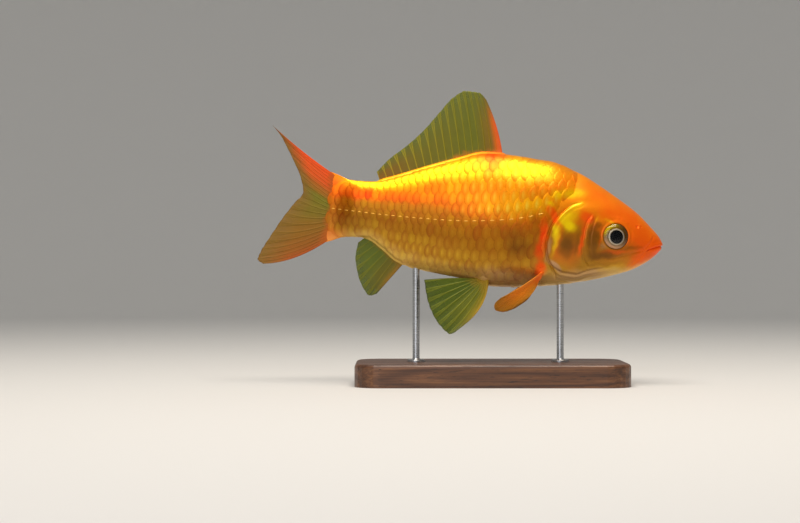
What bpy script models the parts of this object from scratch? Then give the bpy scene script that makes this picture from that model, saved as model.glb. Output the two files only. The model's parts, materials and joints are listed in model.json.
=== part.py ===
"""A common goldfish at life size, held over a walnut base on two steel rods.

Metres, +Z up. The fish looks along +X with its nose a little down, and its right flank faces -Y.
The origin is on the floor, under the middle of the whole part.

The fish is drawn in its own frame, which a parent empty tilts and lifts into place: every place on it
is given in millimetres as (behind, side, up), where behind is measured from the tip of the snout
towards the tail, side is positive on the left, and up is from the long axis of the body.
"""

from math import copysign, cos, pi, radians, sin

import bmesh
import bpy
from mathutils import Vector

MM = 0.001

# Driving dimensions, in millimetres and degrees.
GAP = 0.3                   # left open wherever two pieces meet
NOSE_DOWN = radians(6.7)    # tilt of the long axis
SNOUT_X = 71.7              # the snout ahead of the origin
SNOUT_HEIGHT = 50.0         # the snout above the floor
BODY_END = 117.2            # where the scaled tail stalk gives way to the tail fin
TRUNK_END = 103.2           # the trunk ends behind the dorsal and anal fins
REACH = 30.0                # half width of the cutters that part the body

RING_POINTS = 26            # corners of one cross section of the body
GILL_COVER_STEP = 0.4       # a gill cover stands this proud of the shoulder behind it
GILL_COVER_THICK = 2.0
CORE_START = 14.0           # the flesh under the gill covers starts ahead of them
CORE_END = 60.0             # and ends behind them

EYE_BEHIND = 17.7
EYE_UP = 0.15
EYE_SIDE = 6.5
EYE_RADIUS = 4.9
EYE_HALF_DEPTH = 2.9
EYE_AHEAD = radians(10.0)   # how far the gaze turns forward
EYE_ABOVE = radians(4.0)    # and up

BASE_LENGTH = 96.0
BASE_WIDTH = 46.0
BASE_HEIGHT = 8.0
BASE_X = 11.0
BASE_CORNER = 9.0
BASE_EDGE = 1.2

ROD_RADIUS = 1.25
ROD_FOOT_RADIUS = 3.0
ROD_FOOT_HEIGHT = 1.2
ROD_FOOT_SUNK = 0.5
ROD_X = {"front": 35.5, "rear": -15.5}

# Cross sections of the body: behind the snout, back, belly, half width, level of the widest
# place, and how full the curve is above and below that place (2 is an ellipse, 1 a lozenge).
BODY = (
    (0.0, -0.8, -0.9, 0.0, -0.8, 2.0, 2.0),
    (0.7, 0.9, -2.8, 2.0, -0.9, 2.0, 2.0),
    (2.5, 3.0, -5.2, 3.5, -1.1, 2.0, 2.0),
    (5.0, 5.2, -7.5, 4.8, -1.3, 2.0, 2.1),
    (10.0, 9.3, -10.8, 6.6, -1.5, 2.0, 2.2),
    (17.0, 13.5, -13.7, 8.1, -1.2, 2.0, 2.2),
    (25.0, 17.8, -16.3, 9.6, -1.6, 1.9, 2.2),
    (34.0, 22.0, -18.8, 10.9, -1.0, 1.8, 2.2),
    (42.0, 24.2, -20.6, 11.8, 0.4, 1.8, 2.2),
    (50.0, 24.6, -21.8, 12.2, 1.2, 1.8, 2.15),
    (59.0, 24.9, -22.5, 11.9, 1.4, 1.8, 2.1),
    (66.0, 24.5, -21.2, 11.1, 1.2, 1.8, 2.05),
    (76.0, 21.0, -20.4, 9.3, 0.3, 1.8, 2.0),
    (86.0, 17.0, -19.3, 7.4, -0.8, 1.85, 1.95),
    (93.0, 14.0, -17.2, 6.1, -1.0, 1.9, 1.9),
    (98.0, 11.9, -13.8, 5.3, -1.1, 1.95, 1.9),
    (104.0, 10.0, -10.7, 4.4, -1.1, 2.0, 2.0),
    (111.0, 9.5, -11.2, 3.2, -1.0, 2.0, 2.0),
    (120.0, 11.5, -14.2, 1.1, -1.2, 2.0, 2.0),
)

# The rear rim of the gill covers, from the nape down to the throat, parts head from trunk.
GILL_RIM = (
    (30.0, 30.0), (29.6, 20.0), (30.6, 11.2), (34.2, 8.9), (38.0, 5.0), (40.6, 0.0),
    (41.4, -5.0), (40.2, -10.2), (38.2, -13.4), (36.6, -16.6), (36.0, -30.0),
)
GILL_COVER = (
    (29.9, 10.4), (34.0, 8.4), (37.6, 4.7), (40.1, -0.2), (40.9, -5.0), (39.7, -9.9),
    (37.7, -12.9), (34.5, -14.3), (30.0, -14.5), (26.0, -12.6), (28.2, -8.4), (28.9, -3.6),
    (28.4, 1.2), (27.4, 5.4),
)
THROAT = (
    (13.2, -11.4), (18.0, -13.2), (24.0, -14.8), (29.0, -15.9), (36.0, -16.2), (36.0, -30.0),
    (13.2, -30.0),
)
LOWER_JAW = (
    (-4.0, -1.5), (0.0, -1.5), (3.0, -2.3), (6.2, -3.9), (8.6, -6.4), (12.8, -11.0), (12.8, -30.0),
    (-4.0, -30.0),
)
UPPER_LIP = (
    (-4.0, -1.1), (0.0, -1.1), (3.1, -1.9), (6.3, -3.4), (5.3, -0.7), (3.9, 2.2), (3.4, 8.0),
    (-4.0, 8.0),
)

# Fins. Each is a fan of rays from a root line to an outer edge, both listed from the first ray to
# the last, as (behind, side, up), with the bulge of the first ray and of the last at its middle.
DORSAL_ROOT = ((59.6, 0.0, 23.4), (72.0, 0.0, 20.6), (86.0, 0.0, 15.2), (101.6, 0.0, 9.0))
DORSAL_EDGE = (
    (67.9, 0.0, 43.2), (70.8, 0.3, 45.4), (75.2, 0.6, 45.5), (79.6, 0.8, 42.6), (83.9, 0.8, 36.6),
    (88.6, 0.7, 29.8), (94.0, 0.5, 23.6), (99.4, 0.3, 18.4), (103.4, 0.1, 13.2),
)
DORSAL_BULGE = ((-0.9, 0.0, 0.2), (0.0, 0.0, 0.3))
ANAL_ROOT = ((89.4, 0.0, -16.8), (96.0, 0.0, -13.6), (103.8, 0.0, -9.2))
ANAL_EDGE = (
    (98.4, 0.0, -29.7), (100.8, -0.3, -30.6), (103.8, -0.6, -27.6), (106.2, -0.6, -22.4),
    (107.4, -0.4, -17.0), (107.0, -0.2, -12.4),
)
ANAL_BULGE = ((0.3, 0.0, -0.4), (0.2, 0.0, -0.3))
TAIL_UPPER_ROOT = ((117.6, 0.0, 10.3), (117.7, 0.0, 4.8), (117.7, 0.0, -1.1))
TAIL_UPPER_EDGE = (
    (142.2, 2.4, 25.5), (139.0, 2.0, 22.4), (135.9, 1.6, 18.0), (132.6, 1.2, 12.8),
    (129.9, 0.9, 8.0), (128.5, 0.8, 3.2),
)
TAIL_UPPER_BULGE = ((0.0, 0.0, -0.7), (0.0, 0.0, 0.0))
TAIL_LOWER_ROOT = ((117.7, 0.0, -1.45), (117.7, 0.0, -7.2), (117.6, 0.0, -12.9))
TAIL_LOWER_EDGE = (
    (128.5, 0.8, 2.75), (131.2, 0.8, -1.2), (134.6, 0.6, -6.8), (138.2, 0.2, -13.8),
    (140.8, -0.2, -19.2), (141.7, -0.6, -22.4), (139.6, -0.8, -23.8),
)
TAIL_LOWER_BULGE = ((0.0, 0.0, 0.0), (0.0, 0.0, -2.0))
PELVIC_ROOT = ((59.8, 5.0, -20.0), (61.6, 4.2, -20.4), (63.8, 3.4, -20.0))
PELVIC_EDGE = (
    (68.6, 10.2, -38.4), (71.2, 10.4, -40.5), (74.8, 9.9, -38.2), (78.0, 9.0, -34.2),
    (80.4, 7.9, -29.2), (82.2, 6.6, -22.8),
)
PELVIC_BULGE = ((-2.6, 0.3, -0.8), (0.0, 0.3, 0.3))
PECTORAL_ROOT = ((40.6, 8.0, -14.2), (41.4, 7.4, -15.6), (42.0, 6.4, -17.0))
PECTORAL_EDGE = (
    (55.8, 19.6, -25.8), (57.6, 20.0, -28.4), (57.0, 19.2, -30.2), (54.6, 17.2, -30.6),
    (51.2, 14.8, -29.2), (47.6, 12.2, -26.2),
)
PECTORAL_BULGE = ((0.2, 0.8, -0.8), (-0.8, 0.4, -0.9))
LEFT_PECTORAL_SWING = (-2.2, 0.0, -0.6)   # its edge is held a little further forward and down
FIN_ROOT_THICK = 1.5
FIN_EDGE_THICK = 0.55
RAY_SEGMENTS = 6


def clear_scene():
    """Remove whatever the file holds."""
    for thing in list(bpy.data.objects):
        bpy.data.objects.remove(thing, do_unlink=True)


def material(name, colour, roughness, metallic=0.0):
    """A plain Principled material."""
    made = bpy.data.materials.new(name)
    made.use_nodes = True
    shader = made.node_tree.nodes["Principled BSDF"]
    shader.inputs["Base Color"].default_value = (*colour, 1.0)
    shader.inputs["Roughness"].default_value = roughness
    shader.inputs["Metallic"].default_value = metallic
    return made


def fish_place(behind, side, up):
    """A place on the fish, in metres in the fish's own frame."""
    return Vector((-behind, side, up)) * MM


def slopes(xs, ys):
    """Slopes for a smooth curve through the points that never overshoots them."""
    steps = [(ys[i + 1] - ys[i]) / (xs[i + 1] - xs[i]) for i in range(len(xs) - 1)]
    result = [steps[0]]
    for before, after in zip(steps, steps[1:]):
        flat = before * after <= 0
        result.append(0.0 if flat else 2 * before * after / (before + after))
    result.append(steps[-1])
    return result


def curve_value(xs, ys, x):
    """The height at x of the smooth curve through the points."""
    rates = slopes(xs, ys)
    index = 0
    while index < len(xs) - 2 and x > xs[index + 1]:
        index += 1
    width = xs[index + 1] - xs[index]
    t = (x - xs[index]) / width
    start, end = ys[index], ys[index + 1]
    rise = rates[index] * width
    fall = rates[index + 1] * width
    return (
        start * (1 + 2 * t) * (1 - t) ** 2
        + rise * t * (1 - t) ** 2
        + end * t * t * (3 - 2 * t)
        + fall * t * t * (t - 1)
    )


def along_line(points, t):
    """The point at 0 <= t <= 1 of a smooth line through evenly counted points."""
    marks = list(range(len(points)))
    position = t * marks[-1]
    axes = range(len(points[0]))
    return tuple(curve_value(marks, [p[axis] for p in points], position) for axis in axes)


def smooth_line(points, count):
    """count points along the smooth line through the given ones."""
    return [along_line(points, i / (count - 1)) for i in range(count)]


def mesh_object(name, vertices, faces, look, frame, smooth=True):
    """An object from vertices in metres and faces, with its faces turned outwards."""
    mesh = bpy.data.meshes.new(name)
    mesh.from_pydata(vertices, [], faces)
    form = bmesh.new()
    form.from_mesh(mesh)
    bmesh.ops.recalc_face_normals(form, faces=form.faces)
    form.to_mesh(mesh)
    form.free()
    if smooth:
        mesh.shade_smooth()
        mesh.set_sharp_from_angle(angle=radians(35))
    made = bpy.data.objects.new(name, mesh)
    bpy.context.scene.collection.objects.link(made)
    made.parent = frame
    if look is None:
        made.hide_render = True
        made.display_type = "WIRE"
    else:
        mesh.materials.append(look)
    return made


def boolean(target, cutter, operation="DIFFERENCE"):
    """Cut the target by another object, or keep only what lies in both."""
    modifier = target.modifiers.new(cutter.name, "BOOLEAN")
    modifier.operation = operation
    modifier.solver = "EXACT"
    modifier.object = cutter


def body_section(behind, grow):
    """One closed ring of the body, grown or shrunk by some millimetres."""
    marks = [row[0] for row in BODY]
    column = list(zip(*BODY))
    back, belly, half_width, level, above, below = (
        curve_value(marks, column[k], behind) for k in range(1, 7)
    )
    ring = []
    for i in range(RING_POINTS):
        angle = 2 * pi * (i + 0.5) / RING_POINTS
        across, rise = cos(angle), sin(angle)
        fullness = above if rise > 0 else below
        height = (back - level if rise > 0 else level - belly) + grow
        side = copysign(abs(across) ** (2 / fullness), across) * (half_width + grow)
        up = level + copysign(abs(rise) ** (2 / fullness), rise) * height
        ring.append((side, up))
    return ring


def ring_places(start, end):
    """Where the body's rings stand: close together at the snout, then every few millimetres."""
    places = [0.35, 1.0, 2.0, 3.4, 5.2]
    while places[-1] < end - 4.4:
        places.append(places[-1] + 3.2)
    return [place for place in places if place > start] + [end]


def body_solid(name, grow, frame, look=None, start=0.0, end=BODY_END + 1.0):
    """The body as one closed loft, from start or a little ahead of it to end."""
    nose_level = curve_value([row[0] for row in BODY], [row[4] for row in BODY], start)
    vertices = [fish_place(start - max(grow, 0.0), 0.0, nose_level)]
    faces = []
    rings = ring_places(start, end)
    for behind in rings:
        for side, up in body_section(behind, grow):
            vertices.append(fish_place(behind, side, up))
    for i in range(RING_POINTS):
        after = (i + 1) % RING_POINTS
        faces.append((0, 1 + i, 1 + after))
        for row in range(len(rings) - 1):
            near = 1 + row * RING_POINTS
            far = near + RING_POINTS
            faces.append((near + i, far + i, far + after, near + after))
    last = 1 + (len(rings) - 1) * RING_POINTS
    faces.append(tuple(last + i for i in range(RING_POINTS)))
    return mesh_object(name, vertices, faces, look, frame)


def offset_line(points, distance, closed=False):
    """A line moved sideways, to its right as it runs; a closed one turns in or out."""
    moved = []
    count = len(points)
    for i, (x, y) in enumerate(points):
        back = points[i - 1] if i > 0 or closed else points[i]
        ahead = points[(i + 1) % count] if i < count - 1 or closed else points[i]
        edges = [Vector((x - back[0], y - back[1])), Vector((ahead[0] - x, ahead[1] - y))]
        normals = [Vector((e.y, -e.x)).normalized() for e in edges if e.length > 1e-6]
        mean = sum(normals, Vector((0.0, 0.0))).normalized()
        reach = distance / max(mean.dot(normals[0]), 0.5)
        moved.append((x + mean.x * reach, y + mean.y * reach))
    return moved


def grown(outline, distance):
    """A closed outline swollen by a distance."""
    turn = sum(
        outline[i - 1][0] * outline[i][1] - outline[i][0] * outline[i - 1][1]
        for i in range(len(outline))
    )
    return offset_line(outline, copysign(distance, turn), closed=True)


def prism(name, outline, frame, low=-REACH, high=REACH):
    """A cutter: an outline seen from the side, as long across as asked."""
    count = len(outline)
    vertices = [fish_place(behind, low, up) for behind, up in outline]
    vertices += [fish_place(behind, high, up) for behind, up in outline]
    faces = [tuple(range(count)), tuple(range(count, 2 * count))]
    for i in range(count):
        after = (i + 1) % count
        faces.append((i, after, count + after, count + i))
    return mesh_object(name, vertices, faces, None, frame, smooth=False)


def lens(name, side, grow, look, frame):
    """An eyeball, flattened across the head."""
    form = bmesh.new()
    bmesh.ops.create_uvsphere(form, u_segments=18, v_segments=12, radius=1.0)
    radius = (EYE_RADIUS + grow) * MM
    depth = (EYE_HALF_DEPTH + grow) * MM
    centre = fish_place(EYE_BEHIND, side * EYE_SIDE, EYE_UP)
    gaze = Vector((sin(EYE_AHEAD), side * cos(EYE_AHEAD), sin(EYE_ABOVE)))
    turn = Vector((0.0, 0.0, 1.0)).rotation_difference(gaze)
    for vertex in form.verts:
        x, y, z = vertex.co
        vertex.co = centre + turn @ Vector((x * radius, y * radius, z * depth))
    vertices = [vertex.co.copy() for vertex in form.verts]
    faces = [tuple(corner.index for corner in face.verts) for face in form.faces]
    form.free()
    return mesh_object(name, vertices, faces, look, frame)


def mirrored(points, side):
    """The same points on the left (side 1) or the right (side -1)."""
    return [(behind, side * across, up) for behind, across, up in points]


def fin(name, root, edge, bulge, rays, look, frame):
    """A fin as a thin fan of rays, thick at the root and thin at its edge."""
    grid = []
    for i in range(rays):
        share = i / (rays - 1)
        start = Vector(along_line(root, share))
        end = Vector(along_line(edge, share))
        first_share = max(1 - 2 * share, 0.0)
        last_share = max(2 * share - 1, 0.0)
        swing = Vector(bulge[0]) * first_share + Vector(bulge[1]) * last_share
        line = []
        for j in range(RAY_SEGMENTS + 1):
            t = j / RAY_SEGMENTS
            line.append(start.lerp(end, t) + swing * 4 * t * (1 - t))
        grid.append(line)
    vertices = []
    for face_side in (1, -1):
        for i in range(rays):
            for j in range(RAY_SEGMENTS + 1):
                along = grid[i][min(j + 1, RAY_SEGMENTS)] - grid[i][max(j - 1, 0)]
                across = grid[min(i + 1, rays - 1)][j] - grid[max(i - 1, 0)][j]
                normal = along.cross(across).normalized()
                t = j / RAY_SEGMENTS
                half = (FIN_ROOT_THICK * (1 - t) ** 1.5 + FIN_EDGE_THICK * (1 - (1 - t) ** 1.5)) / 2
                vertices.append(fish_place(*(grid[i][j] + normal * half * face_side)))
    width = RAY_SEGMENTS + 1
    sheet = rays * width
    faces = []
    for i in range(rays - 1):
        for j in range(RAY_SEGMENTS):
            a = i * width + j
            quad = (a, a + width, a + width + 1, a + 1)
            faces.append(quad)
            faces.append(tuple(sheet + k for k in reversed(quad)))
    rim = [i * width for i in range(rays)]
    rim += [(rays - 1) * width + j for j in range(1, width)]
    rim += [i * width + RAY_SEGMENTS for i in range(rays - 2, -1, -1)]
    rim += list(range(RAY_SEGMENTS - 1, 0, -1))
    for k, here in enumerate(rim):
        after = rim[(k + 1) % len(rim)]
        faces.append((here, after, sheet + after, sheet + here))
    return mesh_object(name, vertices, faces, look, frame)


def rounded_slab(name, look):
    """The base: a board with round corners and softened edges, standing on the floor."""
    form = bmesh.new()
    bmesh.ops.create_cube(form, size=1.0)
    for vertex in form.verts:
        x, y, z = vertex.co
        vertex.co = Vector((x * BASE_LENGTH, y * BASE_WIDTH, (z + 0.5) * BASE_HEIGHT)) * MM
    upright = [e for e in form.edges if abs(e.verts[0].co.z - e.verts[1].co.z) > MM]
    bmesh.ops.bevel(
        form, geom=upright, offset=BASE_CORNER * MM, segments=6, affect="EDGES", profile=0.5
    )
    top = [
        e for e in form.edges if all(v.co.z > (BASE_HEIGHT - 0.01) * MM for v in e.verts)
    ]
    bmesh.ops.bevel(form, geom=top, offset=BASE_EDGE * MM, segments=3, affect="EDGES", profile=0.5)
    mesh = bpy.data.meshes.new(name)
    form.to_mesh(mesh)
    form.free()
    mesh.shade_smooth()
    mesh.set_sharp_from_angle(angle=radians(35))
    mesh.materials.append(look)
    made = bpy.data.objects.new(name, mesh)
    made.location = (BASE_X * MM, 0.0, 0.0)
    bpy.context.scene.collection.objects.link(made)
    return made


def turned(name, profile, x, look=None, segments=20):
    """A piece turned about an upright axis at x, from (radius, height) points on its outline."""
    vertices = []
    for radius, height in profile:
        for i in range(segments):
            angle = 2 * pi * i / segments
            place = Vector((x + radius * cos(angle), radius * sin(angle), height))
            vertices.append(place * MM)
    faces = [tuple(range(segments))]
    top = (len(profile) - 1) * segments
    faces.append(tuple(top + i for i in range(segments)))
    for row in range(len(profile) - 1):
        for i in range(segments):
            after = (i + 1) % segments
            low = row * segments
            high = low + segments
            faces.append((low + i, low + after, high + after, high + i))
    return mesh_object(name, vertices, faces, look, None)


def rod_profile(height):
    """A rod with a round foot that is let into the base."""
    foot_low = BASE_HEIGHT - ROD_FOOT_SUNK + GAP
    foot_high = foot_low + ROD_FOOT_HEIGHT
    return (
        (ROD_FOOT_RADIUS, foot_low),
        (ROD_FOOT_RADIUS, foot_high - 0.3),
        (ROD_FOOT_RADIUS - 0.3, foot_high),
        (ROD_RADIUS, foot_high),
        (ROD_RADIUS, height),
    )


def build_body(frame, looks):
    """The head, jaws, throat, gill covers, eyes, trunk and tail stalk, parted by thin cuts."""
    far_ahead, far_behind = -6.0, BODY_END + 10.0
    rim = smooth_line(GILL_RIM, 29)
    head_rim = offset_line(rim, GAP / 2)
    trunk_rim = offset_line(rim, -GAP / 2)
    regions = {
        "head": [(far_ahead, 30.0)] + head_rim + [(far_ahead, -30.0)],
        "trunk": trunk_rim + [(TRUNK_END - GAP / 2, -30.0), (TRUNK_END - GAP / 2, 30.0)],
        "tail_stalk": [
            (TRUNK_END + GAP / 2, 30.0), (TRUNK_END + GAP / 2, -30.0),
            (BODY_END, -30.0), (BODY_END, 30.0),
        ],
        "throat": THROAT,
        "lower_jaw": LOWER_JAW,
        "upper_lip": UPPER_LIP,
    }
    made = {}
    for name, outline in regions.items():
        made[name] = body_solid(name, 0.0, frame, looks[name])
        boolean(made[name], prism("region_" + name, outline, frame), "INTERSECT")
    for name in ("throat", "lower_jaw", "upper_lip"):
        boolean(made["head"], prism("room_for_" + name, grown(regions[name], GAP), frame))

    core_for_cover, core_for_head = (
        body_solid(name, -depth, frame, start=CORE_START, end=CORE_END)
        for name, depth in (
            ("core_for_cover", GILL_COVER_THICK), ("core_for_head", GILL_COVER_THICK + GAP)
        )
    )
    cover_line = smooth_line(GILL_COVER + GILL_COVER[:1], 40)[:-1]
    for word, side in (("left", 1), ("right", -1)):
        low, high = sorted((side * 2.0, side * REACH))
        name = "gill_cover_" + word
        made[name] = body_solid(name, GILL_COVER_STEP, frame, looks["gill_cover"])
        boolean(made[name], prism("outline_" + name, cover_line, frame, low, high), "INTERSECT")
        boolean(made[name], core_for_cover)
        room = prism("room_for_" + name, grown(cover_line, GAP), frame, low, high)
        boolean(room, core_for_head)
        boolean(made["head"], room)
        boolean(made["trunk"], room)

        made["eye_" + word] = lens("eye_" + word, side, 0.0, looks["eye"], frame)
        boolean(made["head"], lens("socket_" + word, side, GAP, None, frame))
    return made


def build_fins(frame, looks, clearance):
    """The fins, each cut off a little short of the body that it grows from."""
    fins = [
        ("dorsal_fin", DORSAL_ROOT, DORSAL_EDGE, DORSAL_BULGE, 17),
        ("anal_fin", ANAL_ROOT, ANAL_EDGE, ANAL_BULGE, 9),
        ("tail_fin_upper_lobe", TAIL_UPPER_ROOT, TAIL_UPPER_EDGE, TAIL_UPPER_BULGE, 11),
        ("tail_fin_lower_lobe", TAIL_LOWER_ROOT, TAIL_LOWER_EDGE, TAIL_LOWER_BULGE, 12),
    ]
    pairs = (
        ("pelvic_fin_", PELVIC_ROOT, PELVIC_EDGE, PELVIC_BULGE, 10),
        ("pectoral_fin_", PECTORAL_ROOT, PECTORAL_EDGE, PECTORAL_BULGE, 10),
    )
    for word, side in (("left", 1), ("right", -1)):
        for name, *lines, rays in pairs:
            fins.append((name + word, *(mirrored(line, side) for line in lines), rays))
    for name, root, edge, bulge, rays in fins:
        if name == "pectoral_fin_left":
            edge = [tuple(map(sum, zip(point, LEFT_PECTORAL_SWING))) for point in edge]
        made = fin(name, root, edge, bulge, rays, looks["fin"], frame)
        if not name.startswith("tail"):
            boolean(made, clearance)


def build_stand(looks, clearance):
    """A walnut base and two steel rods that end just under the skin of the belly."""
    base = rounded_slab("stand_base", looks["walnut"])
    for word, x in ROD_X.items():
        rod = turned("stand_rod_" + word, rod_profile(SNOUT_HEIGHT), x, looks["steel"])
        boolean(rod, clearance)
        seat = (
            (ROD_FOOT_RADIUS + GAP, BASE_HEIGHT - ROD_FOOT_SUNK),
            (ROD_FOOT_RADIUS + GAP, BASE_HEIGHT + 1.0),
        )
        boolean(base, turned("seat_" + word, seat, x))


def main():
    """Build every piece."""
    clear_scene()
    scarlet = material("scarlet_flesh", (0.85, 0.14, 0.01), 0.35)
    looks = {
        "head": scarlet,
        "upper_lip": material("lip_flesh", (0.75, 0.13, 0.02), 0.4),
        "lower_jaw": material("chin_flesh", (0.55, 0.17, 0.06), 0.4),
        "throat": material("throat_flesh", (0.55, 0.36, 0.20), 0.4),
        "gill_cover": material("gill_cover_bone", (0.62, 0.28, 0.02), 0.3),
        "trunk": material("golden_flank", (0.80, 0.34, 0.02), 0.3),
        "tail_stalk": material("orange_stalk", (0.80, 0.20, 0.02), 0.3),
        "fin": material("amber_fin", (0.45, 0.24, 0.04), 0.35),
        "eye": material("eye_glass", (0.05, 0.04, 0.03), 0.05),
        "walnut": material("oiled_walnut", (0.10, 0.045, 0.02), 0.4),
        "steel": material("stainless_rod", (0.60, 0.60, 0.60), 0.3, 1.0),
    }
    frame = bpy.data.objects.new("fish_frame", None)
    frame.location = Vector((SNOUT_X, 0.0, SNOUT_HEIGHT)) * MM
    frame.rotation_euler = (0.0, NOSE_DOWN, 0.0)
    bpy.context.scene.collection.objects.link(frame)
    bpy.context.view_layer.update()

    build_body(frame, looks)
    clearance = body_solid("body_clearance", GAP, frame)
    build_fins(frame, looks, clearance)
    build_stand(looks, clearance)


main()
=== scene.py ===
"""The looks of a life-size common goldfish on a walnut and steel display stand.

Everything on the fish is drawn in the fish's own frame, in millimetres, as (behind, side, up).
Behind is measured from the tip of the snout towards the tail, side is positive on the left, and up
is from the long axis of the body. One tilt and lift then puts each piece in the row frame, in
metres.
"""

import json
import logging
import math
from collections.abc import Callable, Sequence
from dataclasses import dataclass, field
from enum import Enum
from functools import partial

import bpy
import numpy as np
from mathutils import Euler, Matrix, Vector

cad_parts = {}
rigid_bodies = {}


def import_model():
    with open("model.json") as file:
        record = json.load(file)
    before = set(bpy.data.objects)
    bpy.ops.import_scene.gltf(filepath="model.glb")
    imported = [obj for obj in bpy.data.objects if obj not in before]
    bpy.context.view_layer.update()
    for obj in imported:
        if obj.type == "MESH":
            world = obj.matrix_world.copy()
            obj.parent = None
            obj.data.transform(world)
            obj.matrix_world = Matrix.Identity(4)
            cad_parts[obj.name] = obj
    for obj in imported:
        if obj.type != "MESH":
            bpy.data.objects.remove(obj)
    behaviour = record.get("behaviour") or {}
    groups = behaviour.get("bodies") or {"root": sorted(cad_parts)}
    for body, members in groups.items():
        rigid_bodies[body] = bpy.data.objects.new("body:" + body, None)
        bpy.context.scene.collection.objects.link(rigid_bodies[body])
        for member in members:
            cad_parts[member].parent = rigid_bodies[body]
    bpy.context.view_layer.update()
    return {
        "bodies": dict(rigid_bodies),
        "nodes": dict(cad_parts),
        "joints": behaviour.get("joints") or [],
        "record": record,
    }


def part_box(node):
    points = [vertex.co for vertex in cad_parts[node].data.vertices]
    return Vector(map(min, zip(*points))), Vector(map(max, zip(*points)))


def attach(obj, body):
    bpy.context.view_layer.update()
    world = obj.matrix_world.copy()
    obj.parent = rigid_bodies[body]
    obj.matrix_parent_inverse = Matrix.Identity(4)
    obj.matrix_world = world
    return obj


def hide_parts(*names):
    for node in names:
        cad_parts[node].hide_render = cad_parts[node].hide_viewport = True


MM = 0.001
log = logging.getLogger("goldfish")
Array, Material, Socket = np.ndarray, bpy.types.Material, bpy.types.NodeSocket

# The fish's place: the same tilt and snout as the solids'.
NOSE_DOWN = math.radians(6.7)
SNOUT = (0.0717, 0.0, 0.0500)
FISH_FRAME = Matrix.Translation(SNOUT) @ Euler((0.0, NOSE_DOWN, 0.0)).to_matrix().to_4x4()
FISH_FRAME = FISH_FRAME @ Matrix.Diagonal((-1.0, 1.0, 1.0, 1.0))

COAT_DEPTH = 0.34  # the skin lies this far under the scales' tips
BAKE_MAP = "OFBake"

# The Mix node set to colours, and its sockets, since it holds several of each name.
COLOURS = {"data_type": "RGBA"}
FACTOR, FIRST, SECOND, MIXED = 0, 6, 7, 2

# Cross sections of the body: behind the snout, back, belly, half width, level of the widest place,
# and how full the curve is above and below that place (2 is an ellipse, 1 a lozenge).
SECTIONS = (
    (0, -0.8, -0.9, 0, -0.8, 2, 2),
    (0.7, 0.9, -2.8, 2, -0.9, 2, 2),
    (2.5, 3, -5.2, 3.5, -1.1, 2, 2),
    (5, 5.2, -7.5, 4.8, -1.3, 2, 2.1),
    (10, 9.3, -10.8, 6.6, -1.5, 2, 2.2),
    (17, 13.5, -13.7, 8.1, -1.2, 2, 2.2),
    (25, 17.8, -16.3, 9.6, -1.6, 1.9, 2.2),
    (34, 22, -18.8, 10.9, -1, 1.8, 2.2),
    (42, 24.2, -20.6, 11.8, 0.4, 1.8, 2.2),
    (50, 24.6, -21.8, 12.2, 1.2, 1.8, 2.15),
    (59, 24.9, -22.5, 11.9, 1.4, 1.8, 2.1),
    (66, 24.5, -21.2, 11.1, 1.2, 1.8, 2.05),
    (76, 21, -20.4, 9.3, 0.3, 1.8, 2),
    (86, 17, -19.3, 7.4, -0.8, 1.85, 1.95),
    (93, 14, -17.2, 6.1, -1, 1.9, 1.9),
    (98, 11.9, -13.8, 5.3, -1.1, 1.95, 1.9),
    (104, 10, -10.7, 4.4, -1.1, 2, 2),
    (111, 9.5, -11.2, 3.2, -1, 2, 2),
    (120, 11.5, -14.2, 1.1, -1.2, 2, 2),
)

# Lines on the side of the head, as (behind, up).
GILL_RIM = (
    (30, 30), (29.6, 20), (30.6, 11.2), (34.2, 8.9), (38, 5), (40.6, 0),
    (41.4, -5), (40.2, -10.2), (38.2, -13.4), (36.6, -16.6), (36, -30),
)
GILL_COVER_FOOT = (
    (39, -12.4), (37.7, -13), (34.5, -14.4), (30, -14.6), (26, -12.9), (20.5, -11.2),
    (15, -9.6),
)
CHEEK_EDGE = ((26.6, 7), (28.4, 3.6), (28.9, -1), (28.9, -4.6), (28, -8.8), (25.4, -12.3))
CHEEK_RIDGE = ((24.6, 7.4), (25.9, 3.4), (26.4, -1.2), (26.1, -5.4), (24.6, -8.6), (20, -10.2))
MOUTH = ((-0.5, -1.2), (0.6, -1.3), (2.2, -1.85), (4.2, -2.75), (6.2, -3.9))
LIP_BACK = ((3.6, 2.4), (4.3, 0.4), (5.4, -1.4), (6.7, -3), (7.3, -4.2))
JAW_EDGE = ((6.3, -4), (7.4, -5.6), (8.9, -7.2), (10.8, -9.2), (12.8, -12))
FACE_FOLD = ((7, -3.4), (10.2, -4.7), (13.8, -6.2), (18, -7.6), (22, -8))

LATERAL_LINE = (
    (26, 9.4), (36, 8.2), (42, 6), (48, 3.6), (56, 1.5), (64, 0.2), (72, -0.8),
    (84, -1.4), (100, -1.7), (121, -1.4),
)

# Where the dark flank gives way to the bright back, as (behind, up). The step is partly the fish's
# own colour and partly painted shade: the lower flank is painted darker, as if turned away from the
# lamp above.
COLOUR_AND_SHADE_LINE = (
    (0, -4.6), (8, -3.2), (17, -1.6), (25, -0.6), (31, 0.6), (38, 1), (44, 0.4),
    (50, -1), (58, -1.8), (66, -1.4), (74, 0.4), (84, 2.2), (100, 2.2), (112, 2.8),
    (121, 4),
)


class Side(Enum):
    """The fish's two sides, as the sign of the side axis."""

    LEFT = 1
    RIGHT = -1

    @property
    def word(self) -> str:
        """The side's name in small letters."""
        return self.name.lower()


def linear(shade: str) -> tuple[float, float, float, float]:
    """An sRGB hex colour as linear RGBA.

    Args:
        shade: six hex digits after a hash.
    Returns:
        The colour for a shader socket.
    """
    parts = [int(shade[i : i + 2], 16) / 255 for i in (1, 3, 5)]
    curved = [p / 12.92 if p <= 0.04045 else ((p + 0.055) / 1.055) ** 2.4 for p in parts]
    return (*curved, 1.0)


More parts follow.
